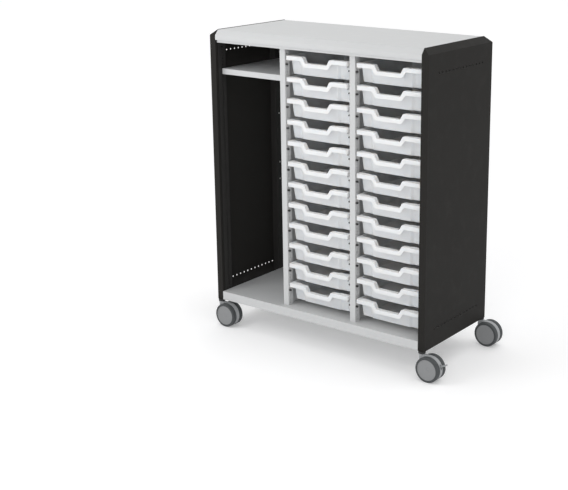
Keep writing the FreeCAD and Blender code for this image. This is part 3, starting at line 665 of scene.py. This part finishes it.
class CABINET_OT_worktop(bpy.types.Operator):
    """Model the bevelled worktop and the rails under it"""
    bl_idname = "cabinet.worktop"
    bl_label = "Worktop"
    bl_options = {"REGISTER", "UNDO"}

    def execute(self, context):
        steel = settings("steel")
        paint = powder_coat("light_powder_coat", steel.light_paint)
        eaves, face = RIDGE - steel.bevel_height, WORKTOP_LOW.z
        bevel = HALF_DEPTH - steel.bevel_depth
        inner = -RAIL_LOW.y
        outline = [(inner, face), (HALF_DEPTH, face), (HALF_DEPTH, eaves), (bevel, TOP), (-bevel, TOP),
                   (-HALF_DEPTH, eaves), (-HALF_DEPTH, face), (-inner, face)]
        top = folded_strip("worktop_sheet", outline, "X", -INNER_X, INNER_X, Z_AXIS)
        dress(top, paint, "light_steel", "worktop")
        low, high = RAIL_LOW, RAIL_HIGH
        outline = [(high.y, high.z), (low.y, high.z), (low.y, low.z), (high.y, low.z)]
        front = folded_strip("front_rail_channel", outline, "X", -INNER_X, INNER_X, -Y_AXIS)
        rear = twin(front, "rear_rail_channel", flip(Y_AXIS))
        dress(front, paint, "light_steel", "front_top_rail")
        dress(rear, paint, "light_steel", "rear_top_rail")
        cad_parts["worktop_stiffeners"].data.materials[0] = paint
        return finished()


class CABINET_OT_side_panels(bpy.types.Operator):
    """Model the two side panels with their hipped tops and vent holes"""
    bl_idname = "cabinet.side_panels"
    bl_label = "Side panels"
    bl_options = {"REGISTER", "UNDO"}

    def pan(self, steel):
        """Open pan with a hipped top, as one surface."""
        eaves = RIDGE - steel.bevel_height
        obj = block("right_panel_pan", PANEL_LOW, (PANEL_HIGH.x, HALF_DEPTH, eaves))
        pick(obj, "FACE", facing(Z_AXIS))
        extrude(0, 0, steel.bevel_height)
        pull(obj, lambda at: at.z > eaves + NEAR and at.x > INNER_X + NEAR, INNER_X - PANEL_HIGH.x, 0, 0)
        for side in SIDES:
            pull(obj, lambda at: at.z > eaves + NEAR and at.y * side > 0, 0, -side * steel.bevel_depth, 0)
        weld()
        pick(obj, "FACE", lambda face, at: at.x < INNER_X + WELD)
        bpy.ops.mesh.delete(type="ONLY_FACE")
        pick(obj, "EDGE", lambda edge, at: not edge.link_faces)
        bpy.ops.mesh.delete(type="EDGE")
        for side in SIDES:
            pick(obj, "EDGE", lambda edge, at: edge.is_boundary and at.y * side > HALF_DEPTH - NEAR
                 and PANEL_LOW.z + NEAR < at.z < eaves - NEAR)
            extrude(0, -side * steel.side_lip, 0)
        return obj

    def vents(self, steel):
        """Two rows of round cutters through the outer skin."""
        first = -(VENTS - 1) * steel.vent_pitch / 2
        low, high = PANEL_LOW.z + steel.vent_low, RIDGE - steel.vent_high
        cutter = start("vent_cutter", "cylinder", vertices=VENT_ROUND, radius=steel.vent_radius, depth=DRILL,
                       location=(PANEL_HIGH.x, first, low), rotation=(0, QUARTER_TURN, 0))
        repeat(cutter, VENTS, (0, steel.vent_pitch, 0))
        repeat(cutter, 2, (0, 0, high - low))
        return cutter

    def execute(self, context):
        steel = settings("steel")
        panel = self.pan(steel)
        round_folds(panel, steel.bend)
        face_out(panel, lambda at: at.x > PANEL_HIGH.x - NEAR, X_AXIS)
        thicken(panel, steel.sheet, steel.edge)
        carve(panel, self.vents(steel))
        left = twin(panel, "left_panel_pan", flip(X_AXIS))
        paint = powder_coat("charcoal_powder_coat", steel.dark_paint, roughness=0.5, peel=0.06, gloss=0.06)
        dress(panel, paint, "dark_steel", "right_side_panel")
        dress(left, paint, "dark_steel", "left_side_panel")
        return finished()


class CABINET_OT_posts(bpy.types.Operator):
    """Model the slotted posts of the dividers and of the side panels"""
    bl_idname = "cabinet.posts"
    bl_label = "Slotted posts"
    bl_options = {"REGISTER", "UNDO"}

    def slots(self, steel, count, low_x, high_x, y):
        """Column of slot cutters between two X planes."""
        first, half = BASE_HIGH.z + steel.first_slot, Vector((0, steel.slot_width, steel.slot_height)) / 2
        cutter = block("slot_cutter", Vector((low_x, y, first)) - half, Vector((high_x, y, first)) + half)
        repeat(cutter, count, (0, 0, steel.slot_pitch))
        return cutter

    def divider_posts(self, steel, front, rear):
        """Channel posts at both ends of both dividers."""
        left, right = DIVIDER_X - DIVIDER_WIDTH / 2, DIVIDER_X + DIVIDER_WIDTH / 2
        back = front + steel.post_depth
        outline = [(left, back), (left, front), (right, front), (right, back)]
        post = folded_strip("divider_post", outline, "Z", POSTS_LOW.z, POSTS_HIGH.z, -Y_AXIS)
        carve(post, self.slots(steel, DIVIDER_SLOTS, left - NEAR, right + NEAR, front + steel.slot_setback))
        to_rear, to_left = shift(y=front + rear) @ flip(Y_AXIS), flip(X_AXIS)
        copies = [twin(post, "post_copy", place) for place in (to_rear, to_left, to_left @ to_rear)]
        return merge("divider_posts_slotted", [post, *copies])

    def side_posts(self, steel, front, rear):
        """Four channels inside the side panels."""
        outer, posts = SIDE_POSTS_HIGH.x, []
        for low, slot_y in ((SIDE_POSTS_LOW.y, front + steel.slot_setback),
                            (SIDE_POSTS_HIGH.y - steel.side_post_depth, rear - steel.slot_setback)):
            high = low + steel.side_post_depth
            outline = [(outer, low), (INNER_X, low), (INNER_X, high), (outer, high)]
            post = folded_strip("side_post", outline, "Z", SIDE_POSTS_LOW.z, SIDE_POSTS_HIGH.z, -X_AXIS)
            carve(post, self.slots(steel, SIDE_SLOTS, INNER_X - NEAR, INNER_X + 3 * NEAR, slot_y))
            posts += [post, twin(post, "post_copy", flip(X_AXIS))]
        return merge("side_posts_slotted", posts)

    def execute(self, context):
        steel = settings("steel")
        light = powder_coat("divider_powder_coat", steel.light_paint)
        dark = powder_coat("post_powder_coat", steel.inner_paint, roughness=0.55, gloss=0.3)
        front, rear = POSTS_LOW.y, POSTS_HIGH.y
        dress(self.divider_posts(steel, front, rear), light, "light_steel", "divider_posts")
        dress(self.side_posts(steel, front, rear), dark, "dark_steel", "side_posts")
        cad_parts["divider_webs"].data.materials[0] = light
        return finished()


class CABINET_OT_shelves(bpy.types.Operator):
    """Model the base shelf, the adjustable shelf with its clips, and the back with its screws"""
    bl_idname = "cabinet.shelves"
    bl_label = "Shelves and back"
    bl_options = {"REGISTER", "UNDO"}

    def pan(self, name, low, high, back):
        """Shelf with turned-down front and rear flanges that return inwards."""
        outline = [(high.y - back, low.z), (high.y, low.z), (high.y, high.z), (low.y, high.z), (low.y, low.z),
                   (low.y + back, low.z)]
        return folded_strip(name, outline, "X", low.x, high.x, Z_AXIS)

    def clips(self, steel):
        """Four angle clips under the adjustable shelf, hooked to the posts."""
        low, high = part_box("shelf_clips")
        outline = [(low.x, low.z), (low.x, high.z), (low.x + steel.clip_ledge, high.z)]
        clip = folded_strip("shelf_clip", outline, "Y", low.y, low.y + steel.clip_width, (-1, 0, 1))
        across, back = shift(x=low.x + high.x) @ flip(X_AXIS), shift(y=high.y - steel.clip_width - low.y)
        copies = [twin(clip, "clip_copy", place) for place in (across, back, back @ across)]
        return merge("shelf_angle_clips", [clip, *copies])

    def screw(self, steel):
        """Pan-head screw with a crossed slot, its head towards the rear, at the origin."""
        radius, rise, edge = steel.screw_head, steel.screw_rise, CRISP
        shank, narrow = radius / 2, radius / 8
        dome = [(radius * across, rise * up) for across, up in ((0.92, 0.65), (0.6, 0.95), (0, 1))]
        screw = turned("screw", [(0, -steel.sheet), (shank, -steel.sheet), (shank, 0), (radius - edge, 0),
                                 (radius, FINE), *dome], SMALL_ROUND)
        for half_x, half_z in ((shank, narrow), (narrow, shank)):
            carve(screw, block("drive", (-half_x, rise / 2, -half_z), (half_x, rise * 2, half_z)))
        return screw

    def screws(self, steel):
        """Screws of the back panel, in two rows, and those that show on a rear post."""
        low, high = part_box("back_panel_screws")
        one, radius = self.screw(steel), steel.screw_head
        step = (high.x - low.x - 2 * radius) / (SCREWS - 1)
        back = [shift(low.x + radius + step * i, BACK, z)
                for z in (low.z + radius, high.z - radius) for i in range(SCREWS)]
        post = [shift(-INNER_X, steel.post_screws, z) @ Matrix.Rotation(-QUARTER_TURN, 4, "Z")
                for z in (steel.post_screw_low, steel.post_screw_middle, steel.post_screw_high)]
        rows = [merge(name, [twin(one, "screw_copy", place) for place in places])
                for name, places in (("back_panel_pan_heads", back), ("post_pan_heads", post))]
        bpy.data.objects.remove(one)
        return rows

    def execute(self, context):
        steel = settings("steel")
        paint = powder_coat("shelf_powder_coat", steel.light_paint)
        zinc = zinc_plate("screw_zinc", settings("casters").zinc)
        base = self.pan("base_pan", BASE_LOW, BASE_HIGH, steel.flange_return)
        shelf = self.pan("shelf_pan", SHELF_LOW, SHELF_HIGH, steel.shelf_return)
        dress(base, paint, "light_steel", "base_shelf")
        dress(shelf, paint, "light_steel", "adjustable_shelf")
        dress(self.clips(steel), zinc, "bright_steel", "shelf_clips")
        back, post = self.screws(steel)
        dress(back, zinc, "bright_steel", "back_panel_screws")
        dress(post, zinc, "bright_steel")
        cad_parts["back_panel"].data.materials[0] = paint
        return finished()


class CABINET_OT_trays(bpy.types.Operator):
    """Model the moulded trays"""
    bl_idname = "cabinet.trays"
    bl_label = "Trays"
    bl_options = {"REGISTER", "UNDO"}

    def body(self, trays, half_length):
        """Tapered body with rounded corners and end panels, as one surface round the tray's middle."""
        half, end = trays.body_top / 2, half_length - trays.inset_top
        bottom = TRAY_LOW.z - TRAY_HIGH.z
        panel, dip = trays.panel_width / 2, trays.dip_top / 2
        step = panel + trays.panel_step
        obj = block("tray_shape", (-half, -end, bottom), (half, end, -trays.wall))
        for x in (trays.dip_floor / 2, dip, panel, step):
            for side in SIDES:
                bpy.ops.mesh.select_all(action="SELECT")
                bpy.ops.mesh.bisect(plane_co=(side * x, 0, 0), plane_no=X_AXIS)
        pick(obj, "FACE", facing(Z_AXIS))
        bpy.ops.mesh.delete(type="FACE")
        for side in SIDES:
            pull(obj, lambda at: abs(at.x) < panel + NEAR and at.y * side > end - NEAR,
                 0, side * trays.panel_proud, 0)
        pick(obj, "EDGE", lambda edge, at: is_fold(edge) and abs(at.x) > half - NEAR
             and abs(at.y) > end - NEAR)
        bpy.ops.mesh.bevel(offset=trays.corner, segments=6, affect="EDGES")
        pick(obj, "VERT", lambda vert, at: at.z < bottom + NEAR)
        taper = (trays.body_bottom / trays.body_top, (half_length - trays.inset_bottom) / end, 1)
        bpy.ops.transform.resize(value=taper, center_override=(0, 0, bottom))
        inward = panel * taper[0] - trays.panel_bottom / 2
        for side in SIDES:
            pull(obj, lambda at: at.z < bottom + NEAR and dip + NEAR < at.x * side < step + NEAR,
                 -side * inward, 0, 0)
        round_folds(obj, trays.foot_round, 3, lambda at: at.z < bottom + NEAR)
        return obj

    def rim(self, obj, trays, half_width, half_length):
        """Flange and hanging lip, extruded from the body's open top and shaped a little above it."""
        lift, above = 5 * NEAR, lambda at: at.z > NEAR
        end, panel = half_length - trays.inset_top, trays.panel_width / 2 + NEAR
        out = half_width - trays.wall - trays.body_top / 2
        along = trays.inset_top - trays.wall
        pick(obj, "EDGE", is_open)
        extrude(0, 0, lift)
        for side in SIDES:
            pull(obj, lambda at: above(at) and at.x * side > panel + trays.panel_step, side * out, 0, 0)
            pull(obj, lambda at: above(at) and at.y * side > end - trays.corner - NEAR and abs(at.x) > panel,
                 0, side * along, 0)
            pull(obj, lambda at: above(at) and at.y * side > end - NEAR and abs(at.x) < panel,
                 0, side * (along - trays.panel_proud), 0)
        pull(obj, above, 0, 0, -lift)
        pick(obj, "EDGE", is_open)
        extrude(0, 0, trays.wall - trays.lip)

    def dip(self, obj, trays, half_length):
        """Lower the rim in the middle of both ends, with a deeper lip below."""
        floor, shoulder = trays.dip_floor / 2 + NEAR, trays.dip_top / 2 + NEAR

        def at_end(at):
            return abs(at.y) > half_length - trays.inset_top - NEAR

        def on_lip(at):
            return at_end(at) and abs(at.z + trays.lip) < NEAR

        def crosses_rim(edge):
            run = edge.verts[0].co - edge.verts[1].co
            return abs(run.x) < NEAR / 10 and abs(run.y) > NEAR

        pull(obj, lambda at: at_end(at) and abs(at.x) < floor and at.z > -trays.wall - NEAR,
             0, 0, -trays.dip_depth)
        for side in SIDES:
            pull(obj, lambda at: on_lip(at) and floor < at.x * side < shoulder,
                 side * (trays.skirt_top - trays.dip_top) / 2, 0, 0)
            pull(obj, lambda at: on_lip(at) and 0 < at.x * side < floor,
                 side * (trays.skirt_floor - trays.dip_floor) / 2, 0, -trays.skirt_drop)
        pick(obj, "EDGE", lambda edge, at: is_fold(edge) and at_end(at) and abs(at.x) < shoulder
             and crosses_rim(edge))
        bpy.ops.mesh.bevel(offset=trays.dip_round, segments=3, affect="EDGES")

    def execute(self, context):
        trays = settings("trays")
        size, depth = TRAY_HIGH - TRAY_LOW, (TRAY_LOW.y + TRAY_HIGH.y) / 2
        shape = self.body(trays, size.y / 2)
        self.rim(shape, trays, size.x / 2, size.y / 2)
        self.dip(shape, trays, size.y / 2)
        face_out(shape, lambda at: at.z < NEAR - size.z, -Z_AXIS)
        thicken(shape, trays.wall, trays.edge)
        plastic = moulded("tray_plastic", trays.plastic, milk=trays.milk)
        for column, x in zip(COLUMNS, (0.0, COLUMN_PITCH)):
            for row, rim in enumerate(RIMS, start=1):
                node = f"tray_{column}_{row:02d}"
                tray = twin(shape, f"{node}_moulding", shift(x, depth, rim))
                dress(tray, plastic, "tray_plastic", node, body=f"{node}_body")
        bpy.data.objects.remove(shape)
        return finished()


class CABINET_OT_runners(bpy.types.Operator):
    """Model the runners of the trays and their locking clips"""
    bl_idname = "cabinet.runners"
    bl_label = "Runners"
    bl_options = {"REGISTER", "UNDO"}

    def spread(self, name, right):
        """A right-hand piece at the top tray, repeated for all trays of both columns."""
        pair = (right, twin(right, "left", flip(X_AXIS)))
        copies = [twin(piece, "copy", shift(x, 0, rim - RIMS[0])) for piece in pair
                  for x in (0.0, COLUMN_PITCH) for rim in RIMS]
        for piece in pair:
            bpy.data.objects.remove(piece)
        return merge(name, copies)

    def clip(self, trays, wall):
        """Small lug with a stepped, rounded nose."""
        low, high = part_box("runner_clips")
        obj = block("lug", (wall - trays.lug_width, low.y + trays.lug_nose, high.z - trays.lug_height),
                    (wall, high.y, high.z))
        pick(obj, "FACE", facing(-Y_AXIS))
        bpy.ops.mesh.inset(thickness=STEP)
        extrude(0, -trays.lug_nose, 0)
        round_folds(obj, trays.lug_round, 2, lambda at: at.x < wall - NEAR)
        return obj

    def execute(self, context):
        trays = settings("trays")
        low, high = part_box("tray_runners")
        wall = COLUMN_PITCH / 2 - DIVIDER_WIDTH / 2
        edge = wall - trays.ledge
        outline = [(wall, high.z - trays.web), (wall, high.z), (edge, high.z), (edge, high.z - trays.guide)]
        strip = folded_strip("runner_strip", outline, "Y", low.y, high.y, Z_AXIS)
        runners = self.spread("runner_strips", strip)
        dress(runners, powder_coat("runner_powder_coat", trays.runner_paint), "runner_steel", "tray_runners")
        clips = self.spread("runner_lugs", self.clip(trays, wall))
        dress(clips, moulded("clip_plastic", trays.clip_plastic), "black_plastic", "runner_clips")
        return finished()


class CABINET_OT_casters(bpy.types.Operator):
    """Model the twin-wheel casters"""
    bl_idname = "cabinet.casters"
    bl_label = "Casters"
    bl_options = {"REGISTER", "UNDO"}

    def tread(self, casters, radius, y0, y1):
        """Rubber tyre of a rear wheel, about an axle at the origin."""
        lip, seat = casters.hub_radius + SOFT, casters.hub_radius - casters.tyre_seat
        r, side = casters.tread_round, y1 - casters.tyre_step
        cut = r * (1 - math.sqrt(0.5))
        return turned("tread", [
            (seat, y0), (radius - r, y0), (radius - cut, y0 + cut), (radius, y0 + r), (radius, side - r),
            (radius - cut, side - cut), (radius - r, side), (lip, side), (lip, side - STEP),
            (seat, side - 2 * STEP), (seat, y0)])

    def hub(self, casters, y0, y1):
        """Hub of a rear wheel: bored for the axle, its face dished inside a raised lip, with a boss."""
        rim, bore, dish, boss = casters.hub_radius, casters.bore, casters.dish_radius, casters.boss_radius
        lip, back, cap = rim - casters.hub_lip, y0 + STEP, y1 - casters.cap
        face, floor = y1 - FINE, y1 - casters.dish_depth
        return turned("hub", [
            (0, cap), (bore, cap), (bore, back), (rim - casters.hub_foot, back),
            (rim - casters.hub_draft, y1 - casters.hub_skirt), (rim, y1 - STEP), (rim - SOFT, face),
            (lip, face), (lip - STEP, floor), (dish, floor - FINE), (boss + 2 * STEP, floor - FINE),
            (boss, face - SOFT), (boss - STEP, face), (0, face)])

    def hood(self, casters, axle, stem, brake):
        """Hood and neck about their own places, as one closed shape, with a slot for the brake lever."""
        half, top = casters.hood_width / 2, axle.z + casters.hood_radius
        obj = drum("hood", casters.hood_radius, casters.hood_width, LARGE_ROUND, (axle.x, stem.y, axle.z))
        bpy.ops.mesh.bisect(plane_co=(0, 0, casters.hood_floor), plane_no=-Z_AXIS, use_fill=True,
                            clear_outer=True)
        round_folds(obj, casters.hood_round)
        plate = block("plate", (stem.x, stem.y - half, stem.z - casters.neck_height),
                      (axle.x, stem.y + half, top))
        round_folds(plate, SOFT, 2, lambda at: at.z > stem.z - 5 * NEAR)
        carve(obj, plate, "UNION")
        carve(obj, self.neck(casters, axle, stem, half), "UNION")
        if brake:
            pivot = Vector((axle.x + casters.lever_out, stem.y, axle.z + casters.lever_up))
            side, rise = casters.lever_width / 2 + SOFT, casters.lever_slot / 2
            carve(obj, block("lever_space", pivot - Vector((casters.lever_back, side, rise)),
                             pivot + Vector((casters.hood_radius, side, rise))))
        return obj

    def neck(self, casters, axle, stem, half):
        """Swivel neck with a slightly wider head, cut back where the wheels turn."""
        radius, height = casters.neck_radius, casters.neck_height
        waist = radius - casters.neck_waist
        neck = turned("neck", [
            (0, 0), (waist, 0), (waist, height * casters.neck_shoulder), (radius, height * casters.neck_head),
            (radius, height - STEP), (radius - STEP, height), (0, height)])
        neck.data.transform(shift(stem.x, stem.y, stem.z - height) @ UPRIGHT)
        for side in SIDES:
            carve(neck, drum("wheel_space", axle.z + casters.wheel_gap, radius, LARGE_ROUND,
                             (axle.x, stem.y + side * (half + radius / 2), axle.z)))
        return neck

    def stem(self, casters, height):
        """Collar, and the stem with its pivot pin, about a Y axis that starts at the collar's bottom."""
        radius, pin, rod = casters.collar_radius, casters.pivot_radius, casters.stem_radius
        foot, head = -casters.pivot_length, casters.stem_length
        collar = [(0, 0), (radius - STEP, 0), (radius, STEP), (radius, height - CRISP),
                  (radius - CRISP, height), (0, height)]
        stem = [(0, foot), (pin - STEP, foot), (pin, foot + STEP), (pin, STEP), (rod, STEP), (rod, head),
                (rod - STEP, head + STEP), (0, head + STEP)]
        return turned("collar", collar), turned("stem", stem, SMALL_ROUND)

    def lever(self, casters):
        """Brake lever along X, from its pivot at the origin to a wider ribbed pedal, rising to its slope."""
        half, thick = casters.lever_width / 2, casters.lever_sheet / 2
        neck_end, strips = casters.lever_reach - casters.pedal_length, 2 * RIBS - 1
        strip = (casters.pedal_length - STEP) / strips
        obj = block("lever", (0, -half, -thick), (neck_end, half, thick))
        pick(obj, "FACE", facing(X_AXIS))
        extrude(STEP, 0, 0)
        bpy.ops.transform.resize(value=(1, casters.pedal_width / casters.lever_width, 1))
        for _ in range(strips):
            pick(obj, "FACE", lambda face, at: face.normal.x > FACING and at.x > neck_end + SOFT)
            extrude(strip, 0, 0)
        for rib in range(RIBS):
            middle = neck_end + STEP + strip * (2 * rib + 0.5)
            pick(obj, "FACE", lambda face, at: face.normal.z > FACING and abs(at.x - middle) < strip / 4)
            bpy.ops.mesh.inset(thickness=strip / 5)
            move(0, 0, -SOFT)
        round_folds(obj, SOFT, 2)
        boss = drum("boss", thick + casters.lever_eye, 2 * half, SMALL_ROUND)
        round_folds(boss, SOFT, 2)
        carve(obj, boss, "UNION")
        obj.data.transform(Matrix.Rotation(-casters.lever_slope, 4, "Y"))
        return obj

    def execute(self, context):
        casters = settings("casters")
        tread_rubber = rubber("tread_rubber", casters.tread)
        hub_plastic = moulded("hub_plastic", casters.hub, roughness=0.38)
        hood_plastic = moulded("hood_plastic", casters.hood)
        collar_plastic = moulded("collar_plastic", casters.collar, roughness=0.5)
        zinc = zinc_plate("zinc_plate", casters.zinc)
        low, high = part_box("rear_right_caster_wheel_rear")
        hood_low, hood_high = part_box("rear_right_caster_housing")
        radius = (high.x - low.x) / 2
        axle = Vector((low.x + radius, 0, low.z + radius))
        stem = Vector((axle.x - casters.trail, (hood_low.y + hood_high.y) / 2, hood_high.z))
        inner, outer = low.y - stem.y, high.y - stem.y
        tread, hub = self.tread(casters, radius, inner, outer), self.hub(casters, inner, outer)
        hoods = {brake: self.hood(casters, axle, stem, brake) for brake in (False, True)}
        lever = self.lever(casters)
        collar_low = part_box("caster_stems")[0].z + casters.pivot_length
        collar, rod = self.stem(casters, PANEL_LOW.z - collar_low)
        collars, rods = [], []
        for name in CASTERS:
            low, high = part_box(f"{name}_caster_wheel_rear")
            here = Vector((low.x + radius, low.y - inner, low.z + radius))
            for wheel in WHEELS:
                place = shift(*here) @ (Matrix.Identity(4) if wheel == "rear" else flip(Y_AXIS))
                node, body = f"{name}_caster_wheel_{wheel}", f"{name}_wheel_{wheel}"
                dress(twin(tread, f"{node}_tread", place), tread_rubber, "wheel_rubber", node, body=body)
                dress(twin(hub, f"{node}_hub", place), hub_plastic, "caster_plastic", node, body=body)
            brake = f"{name}_brake_lever"
            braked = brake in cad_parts
            hood = twin(hoods[braked], f"{name}_caster_hood", shift(here.x - axle.x, here.y - stem.y))
            dress(hood, hood_plastic, "caster_plastic", f"{name}_caster_housing", body=f"{name}_caster")
            if braked:
                pivot = here + Vector((casters.lever_out, 0, casters.lever_up))
                pedal = twin(lever, f"{name}_brake_pedal", shift(*pivot))
                dress(pedal, hood_plastic, "caster_plastic", brake, body=f"{name}_brake")
            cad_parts[f"{name}_caster_axle"].data.materials[0] = zinc
            upright = shift(here.x - casters.trail, here.y, collar_low) @ UPRIGHT
            collars.append(twin(collar, "collar_copy", upright))
            rods.append(twin(rod, "stem_copy", upright))
        dress(merge("caster_collars", collars), collar_plastic, "bright_steel", "caster_stems")
        dress(merge("caster_stem_rods", rods), zinc, "bright_steel", "caster_stems")
        for piece in (tread, hub, lever, collar, rod, *hoods.values()):
            bpy.data.objects.remove(piece)
        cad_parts["caster_sockets"].data.materials[0] = zinc
        return finished()


class CABINET_OT_stage(bpy.types.Operator):
    """Set up the floor, the lights and the camera"""
    bl_idname = "cabinet.stage"
    bl_label = "Stage"
    bl_options = {"REGISTER", "UNDO"}

    def floor(self, stage):
        """Wide pale floor, lifted towards white where the camera or a reflection sees it."""
        obj = start("floor", "plane", size=FLOOR_SIZE)
        bpy.ops.mesh.subdivide(number_cuts=3)
        leave_edit()
        paint = Paint("studio_floor")
        tone = paint.mix(paint.noise(3.0), shade(stage.floor, 0.995), stage.floor)
        paint.set(Base_Color=tone, Roughness=0.9, Specular_IOR_Level=0.2)
        glow = paint.node("ShaderNodeEmission", {},
                          {"Color": (1, 1, 1, 1), "Strength": paint.seen() * stage.floor_lift})
        both = paint.node("ShaderNodeAddShader", {}, {0: Wire(paint, paint.surface.outputs[0]), 1: glow})
        paint.feed(paint.tree.nodes["Material Output"].inputs["Surface"], both)
        obj.data.materials.append(paint.material)

    def sky(self, stage):
        """Even light from all sides, white where the camera or a reflection sees it."""
        world = bpy.data.worlds.new("studio")
        bpy.context.scene.world = world
        world.use_nodes = True
        nodes = Nodes(world.node_tree)
        background = world.node_tree.nodes["Background"]
        nodes.feed(background.inputs["Strength"], stage.sky + nodes.seen() * (1.0 - stage.sky))
        nodes.feed(background.inputs["Color"], (1, 1, 1, 1))

    def lamp(self, name, kind, power, way, place=(0, 0, 0), **settings):
        """Lamp that shines one way."""
        lamp = bpy.data.lights.new(name, kind)
        lamp.energy = power
        for key, value in settings.items():
            setattr(lamp, key, value)
        obj = bpy.data.objects.new(name, lamp)
        obj.location = place
        obj.rotation_euler = way.to_track_quat("-Z", "Y").to_euler()
        bpy.context.scene.collection.objects.link(obj)

    def camera(self, stage):
        """Camera level with the horizon, looking down over the front right corner."""
        data = bpy.data.cameras.new("camera")
        data.sensor_width = SENSOR
        data.lens = stage.lens
        data.shift_x, data.shift_y = stage.shift
        obj = bpy.data.objects.new("camera", data)
        obj.location = stage.eye
        obj.rotation_euler = (QUARTER_TURN - stage.dip, 0, stage.turn)
        bpy.context.scene.collection.objects.link(obj)
        bpy.context.scene.camera = obj

    def execute(self, context):
        stage = settings("stage")
        self.floor(stage)
        self.sky(stage)
        for name, power, place in (("key_light", stage.key, stage.key_place),
                                   ("fill_light", stage.fill, stage.fill_place)):
            self.lamp(name, "AREA", power, Vector(stage.lamp_aim) - Vector(place), place, shape="DISK",
                      size=stage.lamp_size)
        self.lamp("overhead_light", "SUN", stage.overhead, FROM_ABOVE, angle=stage.overhead_spread)
        self.camera(stage)
        context.scene.view_settings.view_transform = "Standard"
        return finished()


class CABINET_PT_tools(bpy.types.Panel):
    """Sidebar panel with the cabinet's settings and operators"""
    bl_idname = "CABINET_PT_tools"
    bl_label = "Tray storage cabinet"
    bl_space_type = "VIEW_3D"
    bl_region_type = "UI"
    bl_category = "Cabinet"

    def draw(self, context):
        for operator in OPERATORS:
            self.layout.operator(operator.bl_idname)
        for name, group in GROUPS.items():
            box = self.layout.box()
            box.label(text=name.title())
            for key in group.__annotations__:
                box.prop(getattr(context.scene, "cabinet_" + name), key)


GROUPS = {"steel": CabinetSteel, "trays": CabinetTrays, "casters": CabinetCasters, "stage": CabinetStage}
OPERATORS = (CABINET_OT_worktop, CABINET_OT_side_panels, CABINET_OT_posts, CABINET_OT_shelves,
             CABINET_OT_trays, CABINET_OT_runners, CABINET_OT_casters, CABINET_OT_stage)
CLASSES = (*GROUPS.values(), *OPERATORS, CABINET_PT_tools)


def register():
    for cls in CLASSES:
        bpy.utils.register_class(cls)
    for name, group in GROUPS.items():
        setattr(bpy.types.Scene, "cabinet_" + name, bpy.props.PointerProperty(type=group))


def unregister():
    for name in GROUPS:
        delattr(bpy.types.Scene, "cabinet_" + name)
    for cls in reversed(CLASSES):
        bpy.utils.unregister_class(cls)


def main():
    register()
    for operator in OPERATORS:
        group, name = operator.bl_idname.split(".")
        getattr(getattr(bpy.ops, group), name)()


if __name__ == "__main__":
    main()
